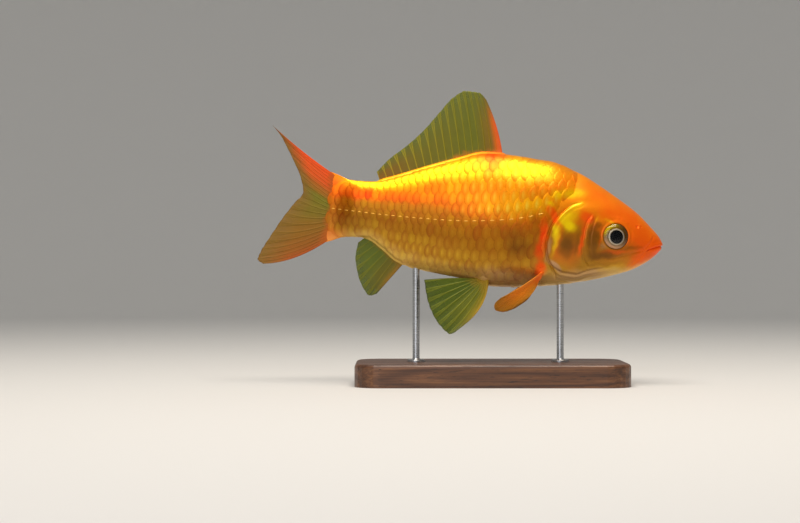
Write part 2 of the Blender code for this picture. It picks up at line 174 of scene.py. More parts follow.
def smooth_step(low: float, high: float, at: Array) -> Array:
    """A soft step.

    Args:
        low: where the step starts; it may be above high, for a step down.
        high: where it is complete.
        at: the values to judge.
    Returns:
        0 before low, 1 after high, and an S between.
    """
    t = np.clip((at - low) / (high - low), 0.0, 1.0)
    return t * t * (3 - 2 * t)


def bump(at: Array, width: float) -> Array:
    """A bell curve of height 1 that falls to a third at width from its middle."""
    return np.exp(-((at / width) ** 2))


def unit(ways: Array) -> Array:
    """The same directions with length 1."""
    return ways / np.maximum(np.linalg.norm(ways, axis=-1, keepdims=True), 1e-9)


def curve_through(marks: Sequence, values: Sequence, at: Array) -> Array:
    """A smooth curve that never overshoots its points.

    Args:
        marks: the rising places of the points.
        values: the height at each.
        at: where to read the curve.
    Returns:
        The heights there.
    """
    marks, values = np.asarray(marks, float), np.asarray(values, float)
    widths = np.diff(marks)
    steps = np.diff(values) / widths
    product, total = steps[:-1] * steps[1:], steps[:-1] + steps[1:]
    inner = np.where(product > 0, 2 * product / np.where(product > 0, total, 1.0), 0.0)
    rates = np.concatenate([steps[:1], inner, steps[-1:]])
    index = np.clip(np.searchsorted(marks, at, side="right") - 1, 0, len(widths) - 1)
    width = widths[index]
    t = np.clip((at - marks[index]) / width, 0.0, 1.0)
    rise, fall = rates[index] * width, rates[index + 1] * width
    return (
        values[index] * (1 + 2 * t) * (1 - t) ** 2
        + rise * t * (1 - t) ** 2
        + values[index + 1] * t * t * (3 - 2 * t)
        + fall * t * t * (t - 1)
    )


def along_line(points: Sequence, share: Array) -> Array:
    """Points along the smooth line through evenly counted ones.

    Args:
        points: the line's own points.
        share: how far along each wanted point is, from 0 to 1.
    Returns:
        An array of the points, one row each.
    """
    points = np.asarray(points, float)
    marks = np.arange(len(points))
    at = np.asarray(share, float) * marks[-1]
    return np.stack([curve_through(marks, column, at) for column in points.T], -1)


def off_line(points: Sequence, behind: Array, up: Array, count: int = 90) -> tuple[Array, Array]:
    """How far places lie from a line on the side of the fish.

    Args:
        points: the line, as (behind, up).
        behind: the places' distance behind the snout.
        up: their height.
        count: how many straight pieces stand for the line.
    Returns:
        The distance, positive to the left of the way the line runs, and the share along it.
    """
    line = along_line(points, np.linspace(0.0, 1.0, count + 1))
    start, way = line[:-1], np.diff(line, axis=0)
    length = np.maximum((way**2).sum(1), 1e-12)
    flat_behind, flat_up = np.ravel(behind), np.ravel(up)
    best = np.full(flat_behind.shape, 1e9)
    signed, share = np.zeros_like(best), np.zeros_like(best)
    for i in range(count):
        to_behind, to_up = flat_behind - start[i, 0], flat_up - start[i, 1]
        t = np.clip((to_behind * way[i, 0] + to_up * way[i, 1]) / length[i], 0.0, 1.0)
        off_behind, off_up = to_behind - t * way[i, 0], to_up - t * way[i, 1]
        gap = off_behind**2 + off_up**2
        near = gap < best
        turn = way[i, 0] * to_up - way[i, 1] * to_behind
        best = np.where(near, gap, best)
        signed = np.where(near, np.sign(turn) * np.sqrt(gap), signed)
        share = np.where(near, (i + t) / count, share)
    return signed.reshape(np.shape(behind)), share.reshape(np.shape(behind))


def grid_faces(rows: int, columns: int, closed: bool = False) -> Array:
    """The quads of a grid of vertices numbered row by row.

    Args:
        rows: how many rows of vertices.
        columns: how many vertices in a row.
        closed: whether each row joins up into a ring.
    Returns:
        Four vertex numbers per face.
    """
    across = np.arange(columns if closed else columns - 1)
    after = (across + 1) % columns
    row = np.arange(rows - 1)[:, None] * columns
    below = row + columns
    return np.stack([row + across, row + after, below + after, below + across], -1).reshape(-1, 4)


def grid_corners(rows: int, columns: int, closed: bool = False) -> Array:
    """The places of those quads' corners.

    Args:
        rows: how many rows of vertices.
        columns: how many vertices in a row.
        closed: whether each row joins up into a ring.
    Returns:
        For each corner of each face, (column share, row share), each from 0 to 1.
    """
    cells = columns if closed else columns - 1
    low = np.stack(np.meshgrid(np.arange(cells), np.arange(rows - 1)), -1).reshape(-1, 1, 2)
    steps = np.array([[0, 0], [1, 0], [1, 1], [0, 1]])
    return (low + steps) / np.array([cells, rows - 1])


def turned(profile: Sequence, sides: int) -> Array:
    """The points of a shape turned about an upright axis.

    Args:
        profile: (radius, height) points.
        sides: how many points stand in each ring.
    Returns:
        A grid of points, one row per profile point.
    """
    radius, height = np.array(profile)[:, :1], np.array(profile)[:, 1:]
    turn = 2 * math.pi * np.arange(sides) / sides
    return np.stack([radius * np.cos(turn), radius * np.sin(turn), height + 0 * turn], -1)


@dataclass(frozen=True)
class Chart:
    """Where a thin plate lies on the bake map."""

    low: Array
    size: Array
    shift: Array
    spread: float

    def corners(self, rows: int, columns: int, loop: Array) -> Array:
        """The map's places for both faces of a plate and for its rim.

        Args:
            rows: how many rows of vertices the plate has.
            columns: how many vertices in a row.
            loop: the vertices round the rim.
        Returns:
            Four places for each face.
        """
        cells = grid_corners(rows, columns)
        flat = np.stack(np.meshgrid(np.linspace(0, 1, columns), np.linspace(0, 1, rows)), -1)
        inner = flat.reshape(-1, 2)[loop]
        outer = 0.5 + (inner - 0.5) * self.spread
        rim = np.stack([np.roll(inner, -1, 0), inner, outer, np.roll(outer, -1, 0)], 1)
        return np.concatenate([
            self.low + cells * self.size, self.low + self.shift + cells[:, ::-1] * self.size,
            self.low + rim * self.size,
        ])


@dataclass
class MeshPlan:
    """A mesh in the making, in fish millimetres."""

    points: list = field(default_factory=list)
    faces: list = field(default_factory=list)
    corners: list = field(default_factory=list)
    marks: dict = field(default_factory=dict)
    count: int = 0

    def add(self, points: Array, faces: Array, corners: Array, **marks) -> None:
        """Adds a patch of quads.

        Args:
            points: one row per vertex.
            faces: four vertex numbers per face; a triangle repeats its last.
            corners: the bake map's place of each face corner.
            marks: a number for each vertex, by attribute name.
        """
        self.points.append(points)
        self.faces.append(faces + self.count)
        self.corners.append(corners)
        for name, values in marks.items():
            self.marks.setdefault(name, []).append(values)
        self.count += len(points)

    def add_plate(
        self, top: Array, bottom: Array, chart: Chart, mirrored: bool = False, **marks,
    ) -> None:
        """Adds a thin closed plate: two grids of points and the rim between them.

        Args:
            top: the upper points, as a grid.
            bottom: the lower points, as a grid.
            chart: where the plate lies on the bake map.
            mirrored: whether it is the mirror image of a plate, so that its faces turn over.
            marks: a number for each point of a grid, by attribute name.
        """
        rows, columns = top.shape[:2]
        count = rows * columns
        upper = grid_faces(rows, columns)
        loop = np.concatenate([
            np.arange(columns), np.arange(1, rows) * columns + columns - 1,
            (rows - 1) * columns + np.arange(columns - 2, -1, -1),
            np.arange(rows - 2, 0, -1) * columns,
        ])
        after = np.roll(loop, -1)
        rim = np.stack([after, loop, loop + count, after + count], -1)
        faces = np.concatenate([upper, upper[:, ::-1] + count, rim])
        corners = chart.corners(rows, columns, loop)
        if mirrored:
            faces, corners = faces[:, ::-1], corners[:, ::-1]
        points = np.concatenate([top.reshape(-1, 3), bottom.reshape(-1, 3)])
        both = {name: np.tile(values.ravel(), 2) for name, values in marks.items()}
        self.add(points, faces, corners, **both)

    def build(self, name: str, finish: Material, tilted: bool = True) -> bpy.types.Object:
        """Makes the object.

        Args:
            name: the piece's name.
            finish: its material.
            tilted: whether the points are in the fish's frame.
        Returns:
            The object, which rides on the root body.
        """
        points = np.concatenate(self.points) * MM
        if tilted:
            frame = np.array(FISH_FRAME)
            points = points @ frame[:3, :3].T + frame[:3, 3]
        faces, corners = np.concatenate(self.faces), np.concatenate(self.corners)
        mesh = bpy.data.meshes.new(name)
        mesh.vertices.add(len(points))
        mesh.vertices.foreach_set("co", points.astype(np.float32).ravel())
        triangle = faces[:, 2] == faces[:, 3]
        keep = np.ones(faces.shape, bool)
        keep[triangle, 3] = False
        totals = np.where(triangle, 3, 4)
        mesh.loops.add(int(totals.sum()))
        mesh.loops.foreach_set("vertex_index", faces[keep].astype(np.int32))
        mesh.polygons.add(len(faces))
        starts = np.concatenate([[0], np.cumsum(totals)[:-1]])
        mesh.polygons.foreach_set("loop_start", starts.astype(np.int32))
        mesh.update(calc_edges=True)
        bake_map = mesh.uv_layers.new(name=BAKE_MAP)
        bake_map.uv.foreach_set("vector", corners[keep].astype(np.float32).ravel())
        for mark, values in self.marks.items():
            layer = mesh.attributes.new(mark, "FLOAT", "POINT")
            layer.data.foreach_set("value", np.concatenate(values).astype(np.float32))
        mesh.shade_smooth()
        mesh.materials.append(finish)
        mesh.validate()
        made = bpy.data.objects.new(name, mesh)
        bpy.context.scene.collection.objects.link(made)
        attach(made, "root")
        log.info("%s: %d faces", name, len(faces))
        return made


@dataclass(frozen=True)
class BodyForm:
    """The smooth form of head, trunk and tail stalk, before any relief.

    A place on it is (behind, angle): angle runs from -90 degrees at the belly, past 0 at the widest
    place of the left side, to 90 at the back, and on round the right side.
    """

    stations: int = 420
    girth_steps: int = 360
    start: float = 20.0
    end: float = 121.0

    def __post_init__(self) -> None:
        """Works out the table from girth to angle, once."""
        marks = np.linspace(self.start, self.end, self.stations)
        angles = np.linspace(-math.pi / 2, math.pi / 2, self.girth_steps)
        places = self.place(marks[:, None], angles[None, :])
        steps = np.linalg.norm(np.diff(places[..., 1:], axis=1), axis=-1)
        girth = np.concatenate([np.zeros((len(marks), 1)), np.cumsum(steps, axis=1)], axis=1)
        line_up = curve_through(*zip(*LATERAL_LINE), marks)
        shares = np.linspace(-1.0, 1.0, 2 * self.girth_steps + 1)
        rows = []
        for i in range(len(marks)):
            bottom = np.interp(line_up[i], places[i, :, 2], girth[i])
            top = girth[i, -1] - bottom
            reach = np.where(shares > 0, shares * top, shares * bottom)
            rows.append((np.interp(reach + bottom, girth[i], angles), top, bottom))
        for name, column in zip(("table", "tops", "bottoms"), zip(*rows)):
            object.__setattr__(self, name, np.array(column))

    def place(self, behind: Array, angle: Array) -> Array:
        """The points at some places of the form.

        Args:
            behind: distance behind the snout.
            angle: angle round the section, in radians.
        Returns:
            The points as (behind, side, up) along the last axis.
        """
        behind, angle = np.broadcast_arrays(np.asarray(behind, float), np.asarray(angle, float))
        marks, *columns = zip(*SECTIONS)
        back, belly, half, level, above, below = (
            curve_through(marks, column, behind) for column in columns
        )
        across, rise = np.cos(angle), np.sin(angle)
        power = 2.0 / np.where(rise > 0, above, below)
        height = np.where(rise > 0, back - level, level - belly)
        # The stalk thins to an edge between the rays of the tail fin.
        half = half * (1 - 0.99 * smooth_step(109.0, 119.8, behind))
        side = np.sign(across) * np.abs(across) ** power * half
        up = level + np.sign(rise) * np.abs(rise) ** power * height
        return np.stack([behind, side, up], -1)

    def outward(self, behind: Array, angle: Array) -> Array:
        """The outward direction at some places.

        Args:
            behind: distance behind the snout.
            angle: angle round the section.
        Returns:
            Unit vectors along the last axis.
        """
        step, turn = 0.25, 0.012
        ahead = np.maximum(behind - step, 0.0)
        along = self.place(behind + step, angle) - self.place(ahead, angle)
        across = self.place(behind, angle + turn) - self.place(behind, angle - turn)
        return unit(np.cross(across, along))

    def half_girths(self, behind: Array) -> tuple[Array, Array]:
        """The girth from the lateral line up to the back and down to the belly."""
        marks = np.linspace(self.start, self.end, self.stations)
        return np.interp(behind, marks, self.tops), np.interp(behind, marks, self.bottoms)

    def angle_at(self, behind: Array, girth: Array) -> Array:
        """The angle at a distance round the body from the left side's lateral line.

        Args:
            behind: distance behind the snout.
            girth: distance round the body, positive towards the back, and it may pass the ridge.
        Returns:
            The angle there.
        """
        top, bottom = self.half_girths(behind)
        share = np.where(girth > 0, girth / top, girth / bottom)
        over, under = share > 1, share < -1
        folded = np.where(over, 2 - share, np.where(under, -2 - share, share))
        row = (behind - self.start) / (self.end - self.start) * (self.stations - 1)
        row = np.clip(row, 0, self.stations - 1.001)
        column = (folded + 1) / 2 * (self.table.shape[1] - 1)
        column = np.clip(column, 0, self.table.shape[1] - 1.001)
        r, c = row.astype(int), column.astype(int)
        down, along = row - r, column - c
        first, second = (
            self.table[at, c] * (1 - along) + self.table[at, c + 1] * along for at in (r, r + 1)
        )
        found = first * (1 - down) + second * down
        return np.where(over, math.pi - found, np.where(under, -math.pi - found, found))


@dataclass(frozen=True)
class Spot:
    """A soft oval mark on the side of the fish, in millimetres, leaning by some degrees."""

    behind: float
    up: float
    long: float
    tall: float
    lean: float = 0.0
    strength: float = 1.0
    crisp: float = 1.3

    def cover(self, behind: Array, up: Array) -> Array:
        """How strongly the mark covers some places.

        Args:
            behind: their distance behind the snout.
            up: their height in the fish's frame.
        Returns:
            From 0 to the mark's strength.
        """
        turn = math.radians(self.lean)
        x, z = behind - self.behind, up - self.up
        along = (x * math.cos(turn) + z * math.sin(turn)) / self.long
        across = (-x * math.sin(turn) + z * math.cos(turn)) / self.tall
        return self.strength * np.exp(-((along**2 + across**2) ** self.crisp))


@dataclass(frozen=True)
class Markings:
    """Where each colour lies on the skin and on the scales alike, as rows of numbers for Spot.

    In order, the marks are red-orange; bright yellow gold, mostly painted highlight and partly the
    skin's own gold; dark brown, partly painted shade in the creases of the face; the pale pink of
    throat and chest; and the painted glint on each scale.
    """

    ember: tuple = (
        (4, -1, 9, 5.4, 12, 1), (12, 6.2, 12, 4.6, 36, 0.85),
        (24, 13, 8, 3.6, 30, 0.45),
        (21, 7.4, 5, 2.4, 10, 0.6), (8, -7, 4.6, 2.6, -40, 0.75),
        (27.9, 5.4, 2, 3.2, -60, 1, 2), (29.3, -2.2, 0.95, 5.8, 2, 0.9, 1.6),
        (22.9, -1, 0.6, 3.4, 6, 0.4, 1.6), (17, -5.2, 4.6, 0.8, -8, 0.7, 1.6),
        (15, -7.6, 8, 2.6, -14, 0.16), (31.6, -8.4, 2.2, 4.6, 0, 0.34),
        (36, -9, 3.4, 2.6, 30, 0.30), (37.6, -3.6, 1.2, 4.6, 4, 0.32),
        (64.5, 22, 5, 3.6, -14, 0.6),
        (40.2, 5, 1.4, 4.6, -34, 1, 2), (42.9, -1.4, 1.6, 4.6, -6, 0.95, 2),
        (43.4, -7.4, 1.7, 4.2, 0, 0.7, 1.6), (42.4, -14, 2.1, 2.6, 0, 1, 2),
        (109, 4.6, 8, 1.9, 0, 0.75), (94, 5.2, 17, 1.5, -2, 0.4),
        (118.5, 7, 5.6, 4.4, 0, 0.7), (117, -3, 6.4, 9, 0, 0.22),
        (117.6, -11.6, 5.4, 3.4, 0, 0.6), (62.5, 20.5, 4.6, 4, -10, 0.6),
        (62, 24, 3, 2.6, 0, 0.8), (30, 16, 8, 4, 20, 0.35),
    )
    # Mostly painted highlights: the glints on the gill cover and its rim, on the cheek and over the
    # eye, and the band of light along the back; partly the yellow gold of the skin itself.
    gilt: tuple = (
        (34.6, 2.1, 3, 2.1, 16, 1, 1.5), (36.4, 4.4, 3, 1.6, -44, 1, 1.5),
        (33.6, 5.6, 2.6, 2, -30, 0.55, 1.3), (38.4, -3.6, 1, 4.6, 6, 0.7, 1.4),
        (32.8, 8.8, 3, 1.2, -30, 0.7), (33.6, 13.6, 4.4, 1.7, -8, 0.85, 1.6),
        (39.4, 12.4, 2.2, 1.7, 0, 0.7, 1.6), (41.8, 8.6, 1.1, 1.1, 0, 1, 2),
        (38.9, 0, 1, 3, 6, 0.8, 1.8), (51, 20.6, 9, 3.4, -3, 0.6),
        (70, 17.4, 11, 5, -14, 0.3), (86, 14.2, 15, 2.8, -24, 0.8),
        (105, 9, 10, 1.7, 0, 1, 1.8), (52, 8, 13, 5, -8, 0.34),
        (19.6, 4.9, 2.6, 0.5, 12, 0.6, 1.6), (25.8, 4.6, 0.8, 2, 40, 0.5),
        (17.6, -11, 5, 1.6, -14, 0.22),
    )
    # Dark brown: partly painted shade along the creases under the eye, over the cheek and by the
    # mouth; the rest are darker patches on the gill cover, the lower flank and the stalk.
    dusk: tuple = (
        (25.4, -1.8, 2.1, 6.6, -4, 0.92, 1.6), (21.8, -7.1, 6.2, 1.7, -12, 0.85, 1.5),
        (34.4, -5.2, 2.7, 4.4, -3, 0.88, 1.7), (31, -4, 0.9, 4.4, 0, 0.55, 1.4),
        (20, -9.8, 7, 0.8, -12, 0.4), (30, -11, 3, 2, 0, 0.3),
        (51.4, -7.2, 4.4, 4, 4, 0.7), (46.8, 3, 1.6, 1.6, 0, 0.4),
        (12, -3.4, 4.6, 0.7, -14, 0.5), (24, 3.4, 1.6, 1.3, -30, 0.55, 1.6),
        (56, -3, 8, 3, 0, 0.25), (113, -6.5, 9, 6, 0, 0.45),
    )
    rose: tuple = (
        (29, -15.2, 11, 2, -12, 0.8), (54, -19, 14, 3.4, -2, 0.7),
        (20, -12.4, 5.4, 1.2, -14, 0.7), (37.4, -12.6, 3.6, 0.9, 36, 0.9, 2),
        (40.8, -7.6, 0.7, 4, 4, 0.5, 2), (21.5, -3.6, 1.4, 1, 30, 0.4),
    )
    # Where the painted glints on the scales are strongest: a row above the lateral line behind the
    # gill cover, and fainter ones lower on the flank.
    glow: tuple = (
        (50, 7, 13, 2.6, -12, 1), (60, 12, 16, 7, -6, 0.5),
        (60, 3.6, 12, 2, 0, 0.5), (80, -14, 30, 4, 8, 0.35),
    )

    @staticmethod
    def stray(behind: Array, up: Array, phase: float) -> Array:
        """How far a mark's edge strays from its oval, so that none is regular.

        Args:
            behind: distance behind the snout.
            up: height in the fish's frame.
            phase: which of many such wanderings.
        Returns:
            Millimetres.
        """
        return (
            0.22 * np.sin(0.9 * behind + 0.5 * up + phase)
            + 0.14 * np.sin(1.1 * behind - 1.9 * up + 2 * phase)
            + 0.06 * np.sin(3.7 * behind + 2.3 * up + 3 * phase)
        )

    def marks(self, form: BodyForm, behind: Array, up: Array) -> dict:
        """Every mark's strength at some places.

        Args:
            form: the body's form.
            behind: distance behind the snout.
            up: height in the fish's frame.
        Returns:
            An array for each attribute: the marks, and level, which runs from -1 on the belly
            past 0 on the lateral line to 1 on the back.
        """
        behind, up = behind + self.stray(behind, up, 0.0), up + self.stray(behind, up, 2.0)
        line = curve_through(*zip(*COLOUR_AND_SHADE_LINE), behind)
        back, belly = (form.place(behind, turn)[..., 2] for turn in (math.pi / 2, -math.pi / 2))
        above, below = np.maximum(back - line, 0.5), np.maximum(line - belly, 0.5)
        level = np.where(up > line, (up - line) / above, (up - line) / below)
        made = {"level": np.clip(level, -1.0, 1.0)}
        for name in ("ember", "gilt", "dusk", "rose", "glow"):
            clear = np.ones_like(behind)
            for row in getattr(self, name):
                clear = clear * (1 - np.clip(Spot(*row).cover(behind, up), 0, 1))
            made[name] = 1 - clear
        return made


@dataclass(frozen=True)
class EyeForm:
    """Where the eyes sit and how they are turned, in millimetres and radians."""

    behind: float = 17.7
    side: float = 6.5
    up: float = 0.15
    ahead: float = math.radians(10.0)
    above: float = math.radians(4.0)
    ball: float = 4.62
    iris: float = 4.5
    pupil: float = 2.4
    rim: float = 4.48
    pupil_ahead: float = 0.28
    pupil_below: float = 0.30

    def axes(self, side: Side) -> Array:
        """The eye's own axes in the fish's frame.

        Args:
            side: which eye.
        Returns:
            Three unit vectors as rows: forward, up, and out along the gaze.
        """
        level = math.cos(self.above)
        out = np.array([
            -math.sin(self.ahead) * level, side.value * math.cos(self.ahead) * level,
            math.sin(self.above),
        ])
        forward = unit(np.cross([0.0, 0.0, 1.0], out) * side.value)
        return np.stack([forward, np.cross(out, forward) * side.value, out])

    def centre(self, side: Side) -> Array:
        """The eyeball's centre."""
        return np.array([self.behind, side.value * self.side, self.up])


@dataclass(frozen=True)
class Fold:
    """A fold of skin along a line: grooves and ridges beside it, in millimetres.

    start and end are the shares of the line at which the fold is in full and starts to fade again.
    Each wave has a place off the line, a height and a width.
    """

    line: tuple
    start: float
    end: float
    waves: tuple

    def height(self, behind: Array, up: Array) -> Array:
        """The fold's relief at some places.

        Args:
            behind: their distance behind the snout.
            up: their height in the fish's frame.
        Returns:
            How far each moves outward.
        """
        off, run = off_line(self.line, behind, up)
        rise = sum(height * bump(off - place, width) for place, height, width in self.waves)
        return rise * smooth_step(0.0, self.start, run) * smooth_step(1.0, self.end, run)


@dataclass(frozen=True)
class HeadRelief:
    """What stands up from the smooth form of the head, or is sunk in it, in millimetres."""

    # Behind the upper lip, under the jaw, two over the cheek, under the eye, the gill cover's foot.
    folds: tuple = (
        Fold(LIP_BACK, 0.12, 0.9, ((0.0, -0.15, 0.34), (0.7, 0.08, 0.5))),
        Fold(JAW_EDGE, 0.1, 0.8, ((0.0, -0.12, 0.36), (-0.8, 0.06, 0.6))),
        Fold(CHEEK_EDGE, 0.12, 0.88, ((0.0, -0.34, 0.36), (-0.9, 0.2, 0.7))),
        Fold(CHEEK_RIDGE, 0.15, 0.85, ((0.0, -0.2, 0.4), (1.0, 0.12, 0.7))),
        Fold(FACE_FOLD, 0.1, 0.8, ((0.0, -0.22, 0.38), (1.0, 0.1, 0.8))),
        Fold(GILL_COVER_FOOT, 0.06, 0.7, ((0.25, -0.28, 0.4), (-0.6, 0.12, 0.6))),
    )
    gill_rays: Fold = Fold(
        GILL_COVER_FOOT, 0.06, 0.7, ((1.15, 0.12, 0.36), (2.3, 0.12, 0.36), (3.45, 0.12, 0.36))
    )
    slit_depth: float = 0.5
    slit_width: float = 0.17
    lip_height: float = 0.24
    lip_width: float = 0.62
    lip_off: float = 0.85
    rim_step: float = 0.34
    # The two openings of a nostril: behind, up, radius, depth.
    nostrils: tuple = ((8.8, 4.7, 0.3, 0.26), (10.1, 4.5, 0.42, 0.42))
    flap_behind: float = 9.4
    flap_up: float = 4.6
    # Rows of pores round the eye: radius, first and last angle, count.
    pore_arcs: tuple = ((6.3, 35, 150, 8), (5.9, -165, -25, 10))
    pore_depth: float = 0.16
    pore_radius: float = 0.26
    # Flesh round the paired fins' roots, and the vent: behind, side, up, height, width.
    swellings: tuple = (
        (41.4, 7.4, -15.6, 0.85, 2.1), (61.4, 4.2, -20.2, 0.7, 1.9),
        (87.2, 0.0, -18.9, 0.7, 1.3), (87.2, 0.0, -18.9, -0.9, 0.42),
    )
    head_end: float = 44.0

    def scaled(self, behind: Array, up: Array) -> Array:
        """How far each place lies behind the rim where bare skin gives way to scales."""
        return off_line(GILL_RIM, behind, up)[0]

    def height(self, places: Array) -> Array:
        """The relief at some places of the smooth form.

        Args:
            places: points as (behind, side, up).
        Returns:
            How far each moves outward.
        """
        behind, side, up = np.moveaxis(places, -1, 0)
        past = self.scaled(behind, up)
        rise = self.coat_room(up, past)
        near = behind < self.head_end
        b, u, p = behind[near], up[near], past[near]
        rise[near] += self.mouth(b, u) + self.gill_cover(b, u, p) + self.nose(b, u)
        rise[near] += sum(fold.height(b, u) for fold in self.folds) + self.pores(b, u)
        rise[near] += self.gill_rays.height(b, u) * smooth_step(0.3, -0.5, p)
        return rise + self.fin_sheaths(behind, side, up)

    def coat_room(self, up: Array, past: Array) -> Array:
        """The step down from bare skin to the skin under the scales.

        Args:
            up: height in the fish's frame.
            past: distance behind the rim of the bare skin.
        Returns:
            How far each place moves outward.
        """
        step = smooth_step(10.5, 7.5, up) * smooth_step(-17.5, -15.0, up)
        sharp = smooth_step(-0.15, 0.22, past) * (0.62 + 0.38 * smooth_step(1.4, 3.8, past))
        soft = smooth_step(-1.0, 6.0, past)
        groove = step * 0.4 * bump(past - 0.3, 0.36)
        return -COAT_DEPTH * (step * sharp + (1 - step) * soft) - groove

    def bared(self, places: Array) -> Array:
        """How much deeper the scales lie near nape and gill slit, where skin covers them.

        Args:
            places: points as (behind, side, up).
        Returns:
            How far each moves inward.
        """
        behind, up = places[..., 0], places[..., 2]
        past = self.scaled(behind, up)
        nape = smooth_step(7.5, 10.5, up)
        soft = 0.9 * COAT_DEPTH * (1 - smooth_step(-1.0, 6.0, past))
        return soft * nape + 0.8 * smooth_step(1.5, 0.7, past) * (1 - nape)

    def mouth(self, behind: Array, up: Array) -> Array:
        """The closed mouth with its two lips.

        Args:
            behind: distance behind the snout.
            up: height in the fish's frame.
        Returns:
            How far each place moves outward.
        """
        off, share = off_line(MOUTH, behind, up)
        slit = -self.slit_depth * bump(off, self.slit_width) * smooth_step(1.0, 0.86, share)
        upper = self.lip_height * bump(off - self.lip_off, self.lip_width)
        lower = self.lip_height * 0.9 * bump(off + self.lip_off, self.lip_width)
        return slit + (upper + lower) * smooth_step(1.0, 0.7, share)

    def gill_cover(self, behind: Array, up: Array, past: Array) -> Array:
        """The swollen plate of the gill cover with its rounded free rim and its soft flap.

        Args:
            behind: distance behind the snout.
            up: height in the fish's frame.
            past: distance behind the rim of the bare skin.
        Returns:
            How far each place moves outward.
        """
        rear = smooth_step(-11.0, -1.2, past) * smooth_step(0.25, -0.55, past)
        high = smooth_step(11.5, 7.5, up) * smooth_step(-15.6, -12.8, up)
        swell = 0.25 * Spot(34.5, -2.5, 5.0, 7.0).cover(behind, up)
        return self.rim_step * rear * high - 0.06 * bump(past + 1.5, 0.4) * high + swell

    def nose(self, behind: Array, up: Array) -> Array:
        """The two openings of each nostril and the flap that stands between them.

        Args:
            behind: distance behind the snout.
            up: height in the fish's frame.
        Returns:
            How far each place moves outward.
        """
        rise = 0.22 * bump(behind - self.flap_behind, 0.22) * bump(up - self.flap_up, 0.7)
        for place, height, radius, depth in self.nostrils:
            away = np.hypot(behind - place, up - height)
            rise -= depth * smooth_step(radius * 1.25, radius * 0.5, away)
            rise += 0.06 * bump(away - radius * 1.6, radius * 0.6)
        return rise

    def pores(self, behind: Array, up: Array) -> Array:
        """Rows of small pits over the sense canals: above the eye, below it, and on the cheek.

        Args:
            behind: distance behind the snout.
            up: height in the fish's frame.
        Returns:
            How far each place moves outward.
        """
        eye = EyeForm()
        rows = list(along_line(CHEEK_RIDGE, np.linspace(0.08, 0.95, 9)) + [0.9, 0.0])
        for radius, first, last, count in self.pore_arcs:
            for turn in np.radians(np.linspace(first, last, count)):
                way = np.array([math.cos(turn), math.sin(turn)])
                rows.append((eye.behind, eye.up) + radius * way)
        pits = (bump(np.hypot(behind - at, up - height), self.pore_radius) for at, height in rows)
        return -self.pore_depth * sum(pits)

    def fin_sheaths(self, behind: Array, side: Array, up: Array) -> Array:
        """The flesh that thickens round each fin's root, and the vent ahead of the anal fin.

        Args:
            behind: distance behind the snout.
            side: distance to the left.
            up: height in the fish's frame.
        Returns:
            How far each place moves outward.
        """
        above = smooth_step(0.0, 4.0, up)
        dorsal = smooth_step(57.6, 60.6, behind) * smooth_step(103.5, 101.0, behind)
        anal = smooth_step(88.4, 90.6, behind) * smooth_step(106.0, 103.5, behind)
        rise = 0.75 * dorsal * bump(side, 1.1) * above + 0.7 * anal * bump(side, 1.0) * (1 - above)
        for place, across, height, swell, width in self.swellings:
            away = (behind - place) ** 2 + (np.abs(side) - across) ** 2 + (up - height) ** 2
            rise += swell * bump(np.sqrt(away), width)
        return rise


def add_node(
    tree: bpy.types.NodeTree, kind: str, inputs: dict | None = None, output: int | str = 0,
    stops: tuple = (), **settings,
) -> Socket:
    """Adds a node with its settings and links.

    Args:
        tree: the material's nodes.
        kind: the node's type, without its ShaderNode prefix.
        inputs: a value, a hex colour or a socket to link, by input name or number.
        output: which output to give back, by name or number.
        stops: a colour ramp's (place, hex colour) pairs, blended smoothly.
        settings: values of the node's own properties.
    Returns:
        That output socket.
    """
    node = tree.nodes.new("ShaderNode" + kind)
    for name, value in settings.items():
        setattr(node, name, value)
    for name, value in (inputs or {}).items():
        if isinstance(value, Socket):
            tree.links.new(value, node.inputs[name])
        else:
            node.inputs[name].default_value = linear(value) if isinstance(value, str) else value
    if stops:
        band = node.color_ramp
        band.interpolation = "EASE"
        while len(band.elements) < len(stops):
            band.elements.new(0.5)
        for element, (place, shade) in zip(band.elements, stops):
            element.position = place
            element.color = linear(shade)
    return node.outputs[output]


@dataclass(frozen=True)
class Finish:
    """One of the object's finishes, which its own class paints."""

    name: str

    def surface(self, add: Callable[..., Socket], place: Socket) -> Socket:
        """Gives the shader.

        Args:
            add: adds a node.
            place: the place on the object.
        Returns:
            The shader's socket.
        """
        raise NotImplementedError

    def build(self) -> Material:
        """Makes the material."""
        material = bpy.data.materials.new(self.name)
        material.use_nodes = True
        tree = material.node_tree
        tree.nodes.clear()
        output = tree.nodes.new("ShaderNodeOutputMaterial")
        add = partial(add_node, tree)
        shader = self.surface(add, add("TexCoord", output="Object"))
        tree.links.new(shader, output.inputs["Surface"])
        return material


# The coat's ground colour from belly (0) over the lateral line (0.5) to the back (1). Its dark
# lower flank and bright back are partly the fish's own colour and partly painted shade and painted
# light from above.
COAT_STOPS = (
    (0.0, "#e4bc5c"), (0.16, "#b8841e"), (0.34, "#a26608"), (0.47, "#ac6602"),
    (0.52, "#b86602"), (0.58, "#d66c00"), (0.70, "#f68600"), (0.86, "#ff9800"), (1.0, "#ff9e00"),
)
# The marks' colours: the bright gold is mostly painted highlight, and the dark brown partly painted
# shade in creases.
COAT_TINTS = (
    ("rose", "#bc946c"), ("gilt", "#ffdc00"), ("ember", "#fb5600"), ("dusk", "#663c04"),
)


